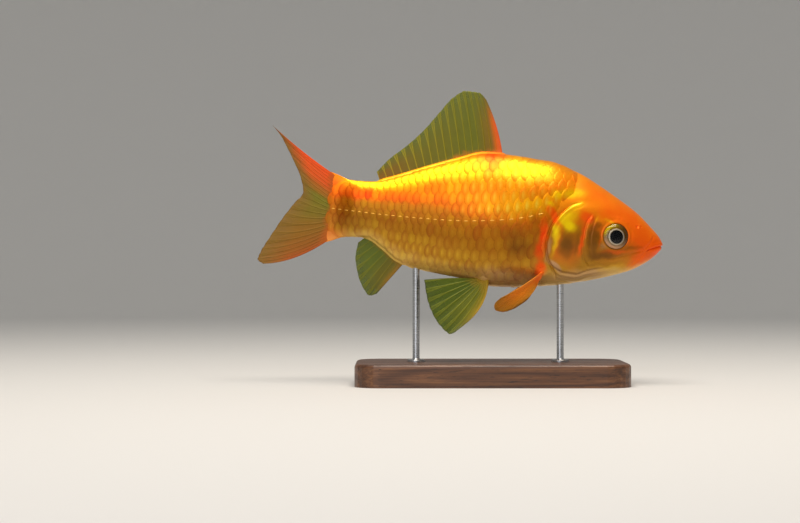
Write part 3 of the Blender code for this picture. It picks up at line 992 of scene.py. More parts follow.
def coat_ground(add: Callable[..., Socket], place: Socket) -> Socket:
    """The markings' colour, alike for skin and scales, with painted highlights and painted shade
    among them.

    Args:
        add: the function that adds a node.
        place: the place on the object.
    Returns:
        The colour socket.
    """
    level = add("Attribute", output="Fac", attribute_name="level")
    # Blotches of pigment about 6 mm across shift the bands a little.
    drift = add("TexNoise", {"Vector": place, "Scale": 160.0, "Detail": 3.0})
    shift = add("Math", {0: drift, 1: 0.12, 2: -0.06}, operation="MULTIPLY_ADD")
    shifted = add("Math", {0: level, 1: shift})
    share = add("Math", {0: shifted, 1: 0.5, 2: 0.5}, operation="MULTIPLY_ADD")
    colour = add("ValToRGB", {"Fac": share}, stops=COAT_STOPS)
    uneven = add("MapRange", {"Value": drift, "From Min": 0.3, "From Max": 0.7, "To Min": 0.75})
    for name, shade in COAT_TINTS:
        mark = add("Attribute", output="Fac", attribute_name=name)
        amount = add("Math", {0: mark, 1: uneven}, operation="MULTIPLY")
        colour = add("Mix", {FACTOR: amount, FIRST: colour, SECOND: shade}, MIXED, **COLOURS)
    return colour


@dataclass(frozen=True)
class WetSkin(Finish):
    """Bare skin under a film of slime: soft, faintly metallic, with a wet gloss on top."""

    name: str = "wet_goldfish_skin"
    gloss: float = 0.36
    shine: float = 0.45

    def surface(self, add: Callable[..., Socket], place: Socket) -> Socket:
        """Gives the shader.

        Args:
            add: adds a node.
            place: the place on the object.
        Returns:
            The shader's socket.
        """
        colour = coat_ground(add, place)
        # Pigment cells, 0.35 mm across, which is the least that shows at arm's length.
        grain = add("TexNoise", {"Vector": place, "Scale": 2800.0, "Detail": 2.0})
        fleck = add("MapRange", {"Value": grain, "From Min": 0.35, "From Max": 0.7})
        flecked = add(
            "Mix", {FACTOR: 0.05, FIRST: colour, SECOND: fleck}, MIXED, blend_type="OVERLAY",
            **COLOURS,
        )
        rough = {"To Min": self.gloss - 0.06, "To Max": self.gloss + 0.1}
        rough = add("MapRange", {"Value": grain, **rough})
        # Uneven skin in waves about 1.5 mm long, and a fine pebble on them.
        waves = add("TexNoise", {"Vector": place, "Scale": 650.0, "Detail": 4.0})
        relief = add("Math", {0: grain, 1: 0.35, 2: waves}, operation="MULTIPLY_ADD")
        normal = add("Bump", {"Height": relief, "Strength": 0.3, "Distance": 0.00008})
        return add("BsdfPrincipled", {
            "Base Color": flecked, "Roughness": rough, "Metallic": self.shine, "IOR": 1.34,
            "Normal": normal, "Coat Weight": 0.08, "Coat Roughness": 0.1,
            "Specular IOR Level": 0.4,
        })


@dataclass(frozen=True)
class ScaleHorn(Finish):
    """Thin horny scale over a metallic layer: gold that glints, a darker, clearer margin and a
    painted glint.
    """

    name: str = "gold_scale_horn"
    gloss: float = 0.30
    shine: float = 0.55

    def surface(self, add: Callable[..., Socket], place: Socket) -> Socket:
        """Gives the shader.

        Args:
            add: adds a node.
            place: the place on the object.
        Returns:
            The shader's socket.
        """
        colour = coat_ground(add, place)
        tone, rim, fan, pore, fleck, glow = (
            add("Attribute", output="Fac", attribute_name=name)
            for name in ("tone", "rim", "fan", "pore", "fleck", "glow")
        )
        # Each scale differs a little in hue and brightness.
        hue = add("MapRange", {"Value": tone, "To Min": 0.488, "To Max": 0.508})
        value = add("MapRange", {"Value": tone, "To Min": 0.90, "To Max": 1.09})
        colour = add("HueSaturation", {"Hue": hue, "Value": value, "Color": colour})
        # The margin has no metallic layer behind it, so it is darker and redder. The paler upright
        # fleck ahead of it is a painted highlight, the glint of the lamp above on the scale's
        # crest, strongest where the markings put the scale glints.
        edge = add("MapRange", {"Value": rim, "From Min": 0.62, "From Max": 0.98, "To Max": 0.18})
        shine = add("MapRange", {"Value": glow, "To Min": 0.07, "To Max": 0.95})
        shine = add("Math", {0: shine, 1: fleck}, operation="MULTIPLY")
        layers = (
            ("MULTIPLY", edge, "#b86010"), ("MIX", shine, "#ffd840"), ("MIX", pore, "#e2a440"),
        )
        for blend, amount, shade in layers:
            colour = add(
                "Mix", {FACTOR: amount, FIRST: colour, SECOND: shade}, MIXED, blend_type=blend,
                **COLOURS,
            )
        # Growth rings about 0.25 mm apart, crossed by radial furrows in the free field.
        relief = 0.0
        for way, waves in ((rim, 70.0), (fan, 26.0)):
            wave = add("Math", {0: way, 1: waves}, operation="MULTIPLY")
            relief = add("Math", {0: add("Math", {0: wave}, operation="SINE"), 1: relief})
        grain = add("TexNoise", {"Vector": place, "Scale": 1800.0, "Detail": 3.0})
        relief = add("Math", {0: grain, 1: 2.4, 2: relief}, operation="MULTIPLY_ADD")
        normal = add("Bump", {"Height": relief, "Strength": 0.1, "Distance": 0.000008})
        rough = {"To Min": self.gloss - 0.1, "To Max": self.gloss + 0.14}
        rough = add("MapRange", {"Value": grain, **rough})
        return add("BsdfPrincipled", {
            "Base Color": colour, "Roughness": rough, "Metallic": self.shine, "IOR": 1.36,
            "Normal": normal, "Specular IOR Level": 0.35,
        })


@dataclass(frozen=True)
class FinWeb(Finish):
    """Clear fin skin between horny rays: it lets the background through, and the rays do not.

    across holds the colours from the first ray to the last, and root and tip those along a ray.
    """

    across: tuple
    ray: str
    first_ray: float
    last_ray: float
    root: str
    root_reach: float
    tip: str
    solid: float = 0.86

    def surface(self, add: Callable[..., Socket], place: Socket) -> Socket:
        """Gives the shader.

        Args:
            add: adds a node.
            place: the place on the object.
        Returns:
            The shader's socket.
        """
        ray, run, share = (
            add("Attribute", output="Fac", attribute_name=name) for name in ("ray", "run", "share")
        )
        # Pigment in clouds about 2 mm across.
        mottle = add("TexNoise", {"Vector": place, "Scale": 420.0, "Detail": 4.0})
        uneven = add("Math", {0: mottle, 1: 0.24, 2: -0.12}, operation="MULTIPLY_ADD")
        at = add("Math", {0: run, 1: uneven})
        tip = add("MapRange", {"Value": at, "From Min": 0.55, "From Max": 1.0})
        firm = {"Value": share, "To Min": self.first_ray, "To Max": self.last_ray}
        firm = add("Math", {0: add("MapRange", firm), 1: ray}, operation="MULTIPLY")
        base = add("MapRange", {"Value": at, "From Min": self.root_reach, "From Max": 0.0})
        colour = add("ValToRGB", {"Fac": share}, stops=self.across)
        for amount, shade in ((tip, self.tip), (firm, self.ray), (base, self.root)):
            colour = add("Mix", {FACTOR: amount, FIRST: colour, SECOND: shade}, MIXED, **COLOURS)
        cloud = add("MapRange", {"Value": mottle, "To Min": 0.86, "To Max": 1.14})
        colour = add("HueSaturation", {"Value": cloud, "Color": colour})
        film = add("MapRange", {"Value": tip, "To Min": self.solid, "To Max": self.solid - 0.14})
        solid = add("Math", {0: ray, 1: base}, operation="MAXIMUM")
        alpha = add("MapRange", {"Value": solid, "To Min": film, "To Max": 0.98})
        # Joints of the soft rays, 0.6 mm apart.
        joints = add("Math", {0: run, 1: 220.0}, operation="MULTIPLY")
        joints = add("Math", {0: joints}, operation="SINE")
        joints = add("Math", {0: joints, 1: ray}, operation="MULTIPLY")
        relief = add("Math", {0: mottle, 1: 1.5, 2: joints}, operation="MULTIPLY_ADD")
        normal = add("Bump", {"Height": relief, "Strength": 0.3, "Distance": 0.00002})
        rough = add("MapRange", {"Value": mottle, "To Min": 0.36, "To Max": 0.5})
        return add("BsdfPrincipled", {
            "Base Color": colour, "Roughness": rough, "Metallic": 0.2, "IOR": 1.36,
            "Alpha": alpha, "Normal": normal,
        })


@dataclass(frozen=True)
class IrisEnamel(Finish):
    """The painted back of a glass eye: metallic gold-olive iris, bright ring and black pupil."""

    name: str = "eye_iris_enamel"

    def surface(self, add: Callable[..., Socket], place: Socket) -> Socket:
        """Gives the shader.

        Args:
            add: adds a node.
            place: the place on the object; not used.
        Returns:
            The shader's socket.
        """
        out, high, rear, east, north = (
            add("Attribute", output="Fac", attribute_name=name)
            for name in ("out", "high", "rear", "east", "north")
        )
        # Fine fibres that run outward from the pupil, about 0.2 mm apart.
        spin = add("CombineXYZ", {"X": east, "Y": north, "Z": out})
        spin = add("VectorMath", {0: spin, 1: (22.0, 22.0, 1.2)}, operation="MULTIPLY")
        fibres = add("TexNoise", {"Vector": spin, "Scale": 2.0, "Detail": 4.0})
        colour = add("ValToRGB", {"Fac": high}, stops=(
            (0.0, "#a07c58"), (0.3, "#867048"), (0.5, "#6a4e14"), (0.75, "#7a5c08"),
            (1.0, "#b07c10"),
        ))
        # The front third is brown in the shade of the brow.
        front = {"Value": rear, "From Min": 0.5, "From Max": 0.05, "To Max": 0.75}
        front = add("MapRange", front)
        colour = add("Mix", {FACTOR: front, FIRST: colour, SECOND: "#7e480a"}, MIXED, **COLOURS)
        shade = add("MapRange", {"Value": fibres, "To Min": 0.6, "To Max": 1.35})
        colour = add(
            "Mix", {FACTOR: 0.8, FIRST: colour, SECOND: shade}, MIXED, blend_type="MULTIPLY",
            **COLOURS,
        )
        # Two painted highlights near the outer edge: a yellow crescent above the rear and a pale
        # one below it.
        shell = add("ValToRGB", {"Fac": out}, stops=(
            (0.0, "#000000"), (0.68, "#000000"), (0.84, "#ffffff"), (1.0, "#ffffff"),
        ))
        upper = add("Math", {0: high, 1: rear}, operation="MULTIPLY")
        low = add("Math", {0: 1.0, 1: high}, operation="SUBTRACT")
        lower = add("MapRange", {"Value": rear, "To Min": 0.5, "To Max": 1.0})
        lower = add("Math", {0: low, 1: lower}, operation="MULTIPLY")
        highlight_crescents = ((upper, 0.36, 0.66, "#ffd60c"), (lower, 0.42, 0.74, "#cc9c74"))
        for part, start, end, shade in highlight_crescents:
            amount = add("MapRange", {"Value": part, "From Min": start, "From Max": end})
            amount = add("Math", {0: amount, 1: shell}, operation="MULTIPLY")
            colour = add("Mix", {FACTOR: amount, FIRST: colour, SECOND: shade}, MIXED, **COLOURS)
        # From the middle out: black pupil, a silver ring, and the dark outer edge. The ring is
        # painted brighter at the rear, as painted light falling from that side.
        ring = add("ValToRGB", {"Fac": out}, stops=(
            (0.0, "#000000"), (0.52, "#000000"), (0.545, "#ffffff"), (0.6, "#ffffff"),
            (0.66, "#000000"), (1.0, "#000000"),
        ))
        lit = add("MapRange", {"Value": rear, "To Min": 0.35, "To Max": 1.2})
        ring = add("Math", {0: ring, 1: lit}, operation="MULTIPLY", use_clamp=True)
        hole = add("MapRange", {"Value": out, "From Min": 0.525, "From Max": 0.505})
        rim = add("MapRange", {"Value": out, "From Min": 0.93, "From Max": 1.0, "To Max": 0.7})
        for amount, shade in ((ring, "#e8dcc4"), (hole, "#05070c"), (rim, "#6a3c08")):
            colour = add("Mix", {FACTOR: amount, FIRST: colour, SECOND: shade}, MIXED, **COLOURS)
        metal = add("MapRange", {"Value": hole, "To Min": 0.7, "To Max": 0.0})
        normal = add("Bump", {"Height": fibres, "Strength": 0.4, "Distance": 0.0001})
        return add("BsdfPrincipled", {
            "Base Color": colour, "Roughness": 0.34, "Metallic": metal, "IOR": 1.06,
            "Normal": normal,
        })


@dataclass(frozen=True)
class CorneaGlass(Finish):
    """A clear polished dome: all that the eye gets from it is the lamp's sharp reflection."""

    name: str = "eye_cornea_glass"

    def surface(self, add: Callable[..., Socket], place: Socket) -> Socket:
        """Gives the shader.

        Args:
            add: adds a node.
            place: the place on the object.
        Returns:
            The shader's socket.
        """
        smear = add("TexNoise", {"Vector": place, "Scale": 500.0})
        rough = add("MapRange", {"Value": smear, "To Min": 0.015, "To Max": 0.05})
        clear = add("BsdfTransparent", {"Color": "#ffffff"})
        gloss = add("BsdfGlossy", {"Color": "#ffffff", "Roughness": rough})
        edge = add("Fresnel", {"IOR": 1.376})
        return add("MixShader", {0: edge, 1: clear, 2: gloss})


@dataclass(frozen=True)
class OiledWalnut(Finish):
    """Planed and oiled walnut: brown grain lines along the board and a low satin sheen."""

    name: str = "oiled_walnut"

    def surface(self, add: Callable[..., Socket], place: Socket) -> Socket:
        """Gives the shader.

        Args:
            add: adds a node.
            place: the place on the object.
        Returns:
            The shader's socket.
        """
        # Growth rings some 3 mm apart drawn out along the board, streaks in them, and open pores
        # 0.15 mm wide and 3 mm long.
        warp, streaks, pores = (
            add("TexNoise", {
                "Vector": add("Mapping", {"Vector": place, "Scale": (along, across, across)}),
                "Scale": 1.0, "Detail": detail,
            })
            for along, across, detail in (
                (5.0, 70.0, 2.0), (30.0, 1500.0, 3.0), (260.0, 4200.0, 2.0),
            )
        )
        bands = add("Math", {0: warp, 1: 60.0}, operation="MULTIPLY")
        bands = add("Math", {0: bands}, operation="SINE")
        bands = add("Math", {0: bands, 1: 0.16, 2: streaks}, operation="MULTIPLY_ADD")
        bands = add("MapRange", {"Value": bands, "From Min": 0.22, "From Max": 0.8})
        pit = add("MapRange", {"Value": pores, "From Min": 0.62, "From Max": 0.70})
        grain = ((0.0, "#452816"), (0.5, "#5f3a20"), (1.0, "#7a4f2e"))
        colour = add("ValToRGB", {"Fac": bands}, stops=grain)
        colour = add("Mix", {FACTOR: pit, FIRST: colour, SECOND: "#2c180d"}, MIXED, **COLOURS)
        rough = add("MapRange", {"Value": bands, "To Min": 0.46, "To Max": 0.34})
        depth = add("Math", {0: pit, 1: -1.0, 2: bands}, operation="MULTIPLY_ADD")
        normal = add("Bump", {"Height": depth, "Strength": 0.3, "Distance": 0.0001})
        return add("BsdfPrincipled", {
            "Base Color": colour, "Roughness": rough, "IOR": 1.5, "Normal": normal,
            "Coat Weight": 0.15, "Coat Roughness": 0.25,
        })


@dataclass(frozen=True)
class TurnedSteel(Finish):
    """Stainless steel rod, turned and brushed round: a soft streak of light down its length."""

    name: str = "turned_stainless_steel"

    def surface(self, add: Callable[..., Socket], place: Socket) -> Socket:
        """Gives the shader.

        Args:
            add: adds a node.
            place: the place on the object.
        Returns:
            The shader's socket.
        """
        # Turning marks 0.12 mm apart.
        marks = add("Mapping", {"Vector": place, "Scale": (300.0, 300.0, 8000.0)})
        lines = add("TexNoise", {"Vector": marks, "Scale": 1.0, "Detail": 2.0})
        rough = add("MapRange", {"Value": lines, "To Min": 0.2, "To Max": 0.38})
        normal = add("Bump", {"Height": lines, "Strength": 0.25, "Distance": 0.00003})
        colour = add("ValToRGB", {"Fac": lines}, stops=((0.3, "#a9abad"), (0.7, "#c4c6c8")))
        return add("BsdfPrincipled", {
            "Base Color": colour, "Metallic": 1.0, "Roughness": rough, "Normal": normal,
        })


@dataclass(frozen=True)
class StudioPaper(Finish):
    """Seamless backdrop paper: matt and pale, with a faint tooth."""

    name: str = "backdrop_paper"

    def surface(self, add: Callable[..., Socket], place: Socket) -> Socket:
        """Gives the shader.

        Args:
            add: adds a node.
            place: the place on the object.
        Returns:
            The shader's socket.
        """
        tooth = add("TexNoise", {"Vector": place, "Scale": 900.0, "Detail": 2.0})
        normal = add("Bump", {"Height": tooth, "Strength": 0.1, "Distance": 0.0001})
        return add("BsdfPrincipled", {
            "Base Color": "#dcdad6", "Roughness": 0.9, "Normal": normal,
        })


def fan(
    ring: Array, tip: int, level: float, peak: float, flipped: bool = False
) -> tuple[Array, Array]:
    """Triangles that close a ring of vertices at a point.

    Args:
        ring: the vertices round the ring.
        tip: the point's vertex.
        level: the ring's height on the bake map.
        peak: the point's height there.
        flipped: whether the faces look the other way.
    Returns:
        Four vertex numbers per face, and the bake map's places as (share of the ring, height).
    """
    count = len(ring)
    share, end = np.arange(count) / count, np.full(count, tip)
    faces = np.stack([ring, np.roll(ring, -1), end, end], -1)
    middle = share + 0.5 / count
    shares = np.stack([share, share + 1 / count, middle, middle], -1)
    places = np.stack([shares, np.broadcast_to([level, level, peak, peak], (count, 4))], -1)
    order = [1, 0, 2, 3] if flipped else [0, 1, 2, 3]
    return faces[:, order], places[:, order]


@dataclass
class Skin:
    """The one skin of head, trunk and tail stalk."""

    form: BodyForm
    relief: HeadRelief
    markings: Markings
    eye: EyeForm
    round_count: int = 296
    end: float = 119.5
    # The ring that is bent to run along the gill rim, and the rings where the bend starts and ends.
    rim_ring: float = 41.0
    bend_start: float = 24.0
    bend_end: float = 56.0
    # How far apart the rings stand, by distance behind the snout.
    ring_steps: tuple = (
        (0.0, 0.06), (1.0, 0.12), (4.0, 0.2), (10.0, 0.2), (12.0, 0.15), (23.0, 0.15),
        (26.0, 0.23), (38.0, 0.23), (40.4, 0.12), (42.2, 0.12), (44.0, 0.3), (52.0, 0.5),
        (60.0, 1.0), (64.0, 1.4), (117.0, 1.4), (120.0, 0.4),
    )
    socket_floor: float = -1.4
    socket_rim: float = 1.36

    def ring_places(self) -> Array:
        """Where the rings stand: close together round eye and gill rim, wider under the scales."""
        places = [0.04]
        while places[-1] < self.end - 0.35:
            step = np.interp(places[-1], *zip(*self.ring_steps))
            places.append(places[-1] + float(step))
        return np.array(places)

    def laid_on_rim(self, places: Array, angles: Array) -> tuple[Array, Array]:
        """The grid of rings and angles, with one ring bent to run along the gill rim.

        Args:
            places: where the rings stand.
            angles: the angles round each ring.
        Returns:
            Distance behind the snout and angle, as grids.
        """
        behind, angle = np.meshgrid(places, angles, indexing="ij")
        rim_behind, up = np.array(GILL_RIM)[::-1].T
        rim = np.full_like(angles, self.rim_ring)
        for _ in range(8):
            rim = curve_through(up, rim_behind, self.form.place(rim, angles)[:, 2])
        start, ring, end = self.bend_start, self.rim_ring, self.bend_end
        ahead = start + (behind - start) * (rim - start) / (ring - start)
        after = rim + (behind - ring) * (end - rim) / (end - ring)
        bent = np.where(behind < ring, ahead, after)
        return np.where((behind > start) & (behind < end), bent, behind), angle

    def seen(self, behind: Array, angle: Array, side: Side) -> Array:
        """Some places of the smooth form in the axes of one eye."""
        return (self.form.place(behind, angle) - self.eye.centre(side)) @ self.eye.axes(side).T

    def laid_round_eye(self, behind: Array, angle: Array, side: Side) -> tuple[Array, Array]:
        """The grid with its lines bent into circles round one eye.

        Args:
            behind: distance behind the snout, as a grid.
            angle: angle round the section, as a grid.
            side: which eye.
        Returns:
            The two grids again.
        """
        # Count the grid's squares from the eye's middle, in rims.
        local = self.seen(behind, angle, side)
        radius = np.hypot(local[..., 0], local[..., 1]) + 99.0 * (local[..., 2] < 0)
        row, column = np.unravel_index(np.argmin(radius), radius.shape)
        rim, count = self.eye.rim, self.round_count
        rows = int(np.searchsorted(radius[row:, column], rim))
        columns = int(np.searchsorted(np.roll(radius[row], -column)[: count // 2], rim))
        steps = (np.arange(count) - column + count // 2) % count
        over = ((steps - count // 2) / columns)[None, :] + 0 * behind
        along = ((np.arange(len(behind)) - row) / rows)[:, None] + 0 * behind
        square = np.maximum(np.abs(over), np.abs(along))
        near = square < 2.0
        over, along, square = over[near], along[near], square[near]
        # Each square becomes a circle, and the circles crowd a little at the rim.
        least = np.minimum(np.abs(over), np.abs(along)) / np.maximum(square, 1e-9)
        turn = np.where(np.abs(along) >= np.abs(over), least, 2 - least) * math.pi / 4
        x, y = np.cos(turn) * np.sign(along), np.sin(turn) * np.sign(over)
        reach = rim * (square - 0.6 * (square - 1) * bump(square - 1, 0.3))
        goal = np.stack([-x * reach, y * reach * side.value], -1)
        # Find where on the body each goal is, by Newton's steps.
        found, found_angle = behind[near].copy(), angle[near].copy()
        step, swing = 0.01, 0.002
        for _ in range(12):
            here, by_step, by_swing = (
                self.seen(*place, side)[..., :2] for place in (
                    (found, found_angle), (found + step, found_angle), (found, found_angle + swing)
                )
            )
            a, b = ((by_step - here) / step).T, ((by_swing - here) / swing).T
            miss = (goal - here).T
            size = a[0] * b[1] - a[1] * b[0]
            found += np.clip((miss[0] * b[1] - miss[1] * b[0]) / size, -1.5, 1.5)
            found_angle += np.clip((a[0] * miss[1] - a[1] * miss[0]) / size, -0.2, 0.2)
        weight = smooth_step(2.0, 1.3, square)
        behind, angle = behind.copy(), angle.copy()
        behind[near] += weight * (found - behind[near])
        angle[near] += weight * (found_angle - angle[near])
        return behind, angle

    def build(self, finish: Material) -> None:
        """Makes the skin, which replaces the nodes of flesh.

        Args:
            finish: the wet skin material.
        """
        places, count = self.ring_places(), self.round_count
        angles = -math.pi / 2 + 2 * math.pi * np.arange(count) / count
        behind, angle = self.laid_on_rim(places, angles)
        for side in Side:
            behind, angle = self.laid_round_eye(behind, angle, side)
        smooth = self.form.place(behind, angle)
        # The stalk closes to a thin edge inside the root of the tail fin, sooner above and below.
        edge = np.abs(np.sin(angle)) ** 3
        close = smooth_step(self.end - 2.8 - 4.0 * edge, self.end - 0.3 - 3.0 * edge, behind)
        rise = self.relief.height(smooth) * (1 - close)
        points = smooth + self.form.outward(behind, angle) * rise[..., None]
        for side in Side:
            points = self.seat_eye(points, side)
        rows, ring = len(places), np.arange(count)
        nose, tail = points[0].mean(0), points[-1].mean(0)
        nose[0] = 0.0
        front, front_map = fan(ring, rows * count, 0.03, 0.005, flipped=True)
        rear, rear_map = fan((rows - 1) * count + ring, rows * count + 1, 0.97, 0.995)
        # The bake map runs along the fish in x and round it in y.
        corners = grid_corners(rows, count, closed=True) * [1.0, 0.94] + [0.0, 0.03]
        corners = np.concatenate([corners, front_map, rear_map])[..., ::-1]
        marks = self.markings.marks(self.form, behind, smooth[..., 2])
        for name, values in marks.items():
            marks[name] = np.append(values.ravel(), [values[0].mean(), values[-1].mean()])
        plan = MeshPlan()
        plan.add(
            np.concatenate([points.reshape(-1, 3), [nose, tail]]),
            np.concatenate([grid_faces(rows, count, closed=True), front, rear]),
            corners * [1.0, 0.96] + [0.0, 0.02], **marks,
        )
        made = plan.build("goldfish_skin", finish)
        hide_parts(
            "head", "upper_lip", "lower_jaw", "throat", "gill_cover_left",
            "gill_cover_right", "trunk", "tail_stalk",
        )

    def seat_eye(self, points: Array, side: Side) -> Array:
        """Sinks a socket for one eye and folds a soft rim round it.

        Args:
            points: the skin's points.
            side: which eye.
        Returns:
            The points with the socket in them.
        """
        axes, centre = self.eye.axes(side), self.eye.centre(side)
        local = (points - centre) @ axes.T
        radius, depth = np.hypot(local[..., 0], local[..., 1]), local[..., 2]
        rim = self.socket_rim + 0.2 * bump(radius - 4.9, 0.4) - 0.1 * bump(radius - 6.0, 0.5)
        wall = smooth_step(self.eye.rim - 0.28, self.eye.rim + 0.04, radius)
        target = self.socket_floor + (rim - self.socket_floor) * wall
        weight = smooth_step(7.4, 5.0, radius) * (depth > -4.0)
        local[..., 2] = depth + (target - depth) * weight
        return centre + local @ axes


@dataclass
class Scales:
    """The coat of overlapping scales over trunk and tail stalk.

    pitch is the distance to the next scale behind and row_gap the distance to the next row, by
    distance behind the snout. ahead, back and reach are shares of the pitch: how far a scale's
    hidden end, the middle of its free field and its tip lie from its root. half is its half width
    as a share of the gap. Sizes are in millimetres.
    """

    form: BodyForm
    relief: HeadRelief
    markings: Markings
    pitch: tuple = ((30.0, 3.35), (58.0, 3.3), (71.0, 2.8), (88.0, 2.45), (118.0, 2.35))
    row_gap: tuple = ((30.0, 4.2), (60.0, 4.2), (80.0, 3.8), (100.0, 3.4), (119.0, 3.3))
    rows: int = 9
    first: float = 27.0
    last: float = 119.3
    last_curve: float = 0.022
    middle: float = 70.0
    tube_start: float = 43.0
    ahead: float = 1.3
    back: float = 0.95
    reach: float = 0.62
    half: float = 1.06
    tilt: float = 0.040
    crown: float = 0.66
    thick: float = 0.10
    edge_thick: float = 0.035
    along: int = 11
    across: int = 14
    patch: float = 0.003

    def columns(self) -> tuple[Array, Array]:
        """Scale numbers against distance behind the snout, at fine steps."""
        places = np.linspace(self.first - 6, self.last + 4, 1200)
        density = 1 / curve_through(*zip(*self.pitch), places)
        steps = (density[1:] + density[:-1]) / 2 * np.diff(places)
        return places, np.concatenate([[0], np.cumsum(steps)])

    def roots(self) -> list[tuple[float, float, float, float, bool]]:
        """Where the scales of one side sit.

        Returns:
            For each scale: behind, girth, pitch, row gap, and whether it is on the lateral line.
        """
        places, number = self.columns()
        found = []
        for row in range(-self.rows, self.rows + 1):
            for count in np.arange(int(number[-1])) + (0.5 if row % 2 else 0.0):
                at = np.array([np.interp(count, number, places)])
                gap = curve_through(*zip(*self.row_gap), at)[0]
                girth = row * gap
                top, bottom = (girths[0] for girths in self.form.half_girths(at))
                spare = (0.25 + 0.5 * smooth_step(108.0, 114.0, at)[0]) * gap
                if not spare - bottom < girth < top - spare:
                    continue
                up = self.form.place(at, self.form.angle_at(at, np.array([girth])))[0, 2:]
                bare = 1.9 if up[0] < 8.5 else 2.6
                last = self.last - self.last_curve * girth**2
                if self.relief.scaled(at, up)[0] < bare or at[0] > last:
                    continue
                found.append((at[0], girth, np.interp(at[0], *zip(*self.pitch)), gap, row == 0))
        return found

    def plate(self, pitch: float, gap: float) -> tuple[Array, Array, Array]:
        """The outline grid of one scale, flat.

        Args:
            pitch: distance to the next scale behind.
            gap: distance to the next row.
        Returns:
            The distance behind the scale's middle and the distance across it, as grids, and how
            near each point is to the free margin, from 0 to 1.
        """
        half = self.half * gap
        v = np.sin(np.linspace(-1, 1, self.across + 1) * math.pi / 2)
        u = 1 - (1 - np.linspace(0, 1, self.along + 1)) ** 1.5
        reach, back, front = self.reach * pitch, self.back * pitch, -self.ahead * pitch
        rear = -back + (back + reach) * np.sqrt(np.maximum(1 - v**2, 0.0))
        run = front + (rear - front) * u[:, None]
        side = np.broadcast_to(half * v, run.shape)
        inside = np.hypot((run + back) / (back + reach), side / half)
        return run, side, np.clip(inside, 0.0, 1.0)

    def build(self, side: Side, finish: Material, generator: np.random.Generator) -> None:
        """Makes the scales of one side, in two pieces.

        Args:
            side: which side.
            finish: the scale material.
            generator: the seeded source of small differences.
        """
        roots = self.roots()
        plans = {"shoulder": MeshPlan(), "loin": MeshPlan()}
        for root in roots:
            part = "shoulder" if root[0] < self.middle else "loin"
            self.add_scale(plans[part], root, side, generator)
        for part, plan in plans.items():
            plan.build(f"scales_{part}_{side.word}", finish)
        log.info("%d scales on the %s", len(roots), side.word)

    def add_scale(
        self, plan: MeshPlan, root: tuple, side: Side, generator: np.random.Generator
    ) -> None:
        """Adds one scale as a thin closed plate laid on the body.

        Args:
            plan: the mesh to add to.
            root: the scale's place and spacing.
            side: which side of the fish.
            generator: the seeded source of small differences.
        """
        behind, girth, pitch, gap, on_line = root
        jitter = generator.normal(0.0, 1.0, 5)
        run, across, rim = self.plate(pitch, gap)
        run = run * (1 + 0.015 * jitter[1]) - across * (0.02 * jitter[0])
        place = behind + run
        taper = curve_through(*zip(*self.row_gap), np.clip(place, 30, 119)) / gap
        angle = self.form.angle_at(np.clip(place, 20.5, 120.5), (girth + across) * taper)
        angle = angle if side is Side.LEFT else math.pi - angle
        ground, normal = self.form.place(place, angle), self.form.outward(place, angle)
        # It lies tilted with its tip on the skin, and its sides lean down.
        tilt = self.tilt * (1 + 0.06 * jitter[2])
        lean = self.crown * pitch * (across / (self.half * gap)) ** 2
        lift = tilt * (run - self.reach * pitch - lean)
        # The thin margin bends down on the scales behind it.
        hug = 0.34 * tilt * pitch * smooth_step(0.88, 1.0, rim)
        lift = lift + 0.006 * jitter[3] - 0.02 - hug - self.relief.bared(ground)
        # The last scales ride up on the roots of the tail fin's rays.
        lift = lift + 0.17 * smooth_step(117.2, 119.4, place)
        thick = self.edge_thick + (self.thick - self.edge_thick) * smooth_step(1.0, 0.8, rim)
        top, bottom = (ground + normal * height[..., None] for height in (lift, lift - thick))
        marks = self.markings.marks(self.form, place, ground[..., 2])
        # On the bake map the flank lies unrolled.
        spot = np.array([0.03 + 0.94 * (behind - 26.0) / 96.0, 0.5 + girth / 80.0])
        chart = Chart(spot, self.patch, np.array([1.5 * self.patch, 0.0]), 1.25)
        plan.add_plate(
            top, bottom, chart, side is Side.LEFT, **marks, rim=rim,
            fan=np.arctan2(across, run + self.back * pitch),
            tone=np.full_like(run, 0.5 + 0.22 * jitter[4]), pore=np.zeros_like(run),
            # fleck is the painted glint on each scale: an upright oval ahead of its margin.
            fleck=bump(run - 0.14 * pitch, 0.12 * pitch) * bump(across, 0.32 * gap),
        )
        if on_line and behind > self.tube_start:
            self.add_tube(plan, top, normal, marks, spot, side)

    def add_tube(
        self, plan: MeshPlan, top: Array, normal: Array, marks: dict, spot: Array,
        side: Side,
    ) -> None:
        """Adds the raised tube of the lateral line on a scale, as a low bead.

        Args:
            plan: the mesh to add to.
            top: the scale's upper points, as a grid.
            normal: the outward directions there.
            marks: the scale's marks.
            spot: the scale's place on the bake map.
            side: which side of the fish.
        """
        wide, high, rings, sides = 0.17, 0.10, 9, 10
        middle = self.across // 2
        start, end = (top[int(self.along * share), middle] for share in (0.52, 0.80))
        out = normal[self.along // 2, middle]
        flank = np.cross(end - start, out) / np.linalg.norm(end - start)
        t = np.linspace(0, 1, rings)
        swell = (np.sin(math.pi * np.clip(t, 0.03, 0.97)) ** 0.5)[:, None, None]
        turn = (2 * math.pi * np.arange(sides) / sides)[:, None]
        points = (start + np.outer(t, end - start))[:, None]
        points = points + swell * (wide * np.cos(turn) * flank + high * np.sin(turn) * out)
        faces = grid_faces(rings, sides, closed=True)
        if side is Side.RIGHT:
            faces = faces[:, ::-1]
        corners = grid_corners(rings, sides, closed=True) * self.patch * 0.8
        same = {name: values.ravel()[values.size // 2] for name, values in marks.items()}
        same.update(rim=0.4, fan=0.0, tone=0.6, pore=1.0, fleck=0.0)
        plan.add(
            points.reshape(-1, 3), faces, corners + spot + [0.0, 1.6 * self.patch],
            **{name: np.full(rings * sides, value) for name, value in same.items()},
        )


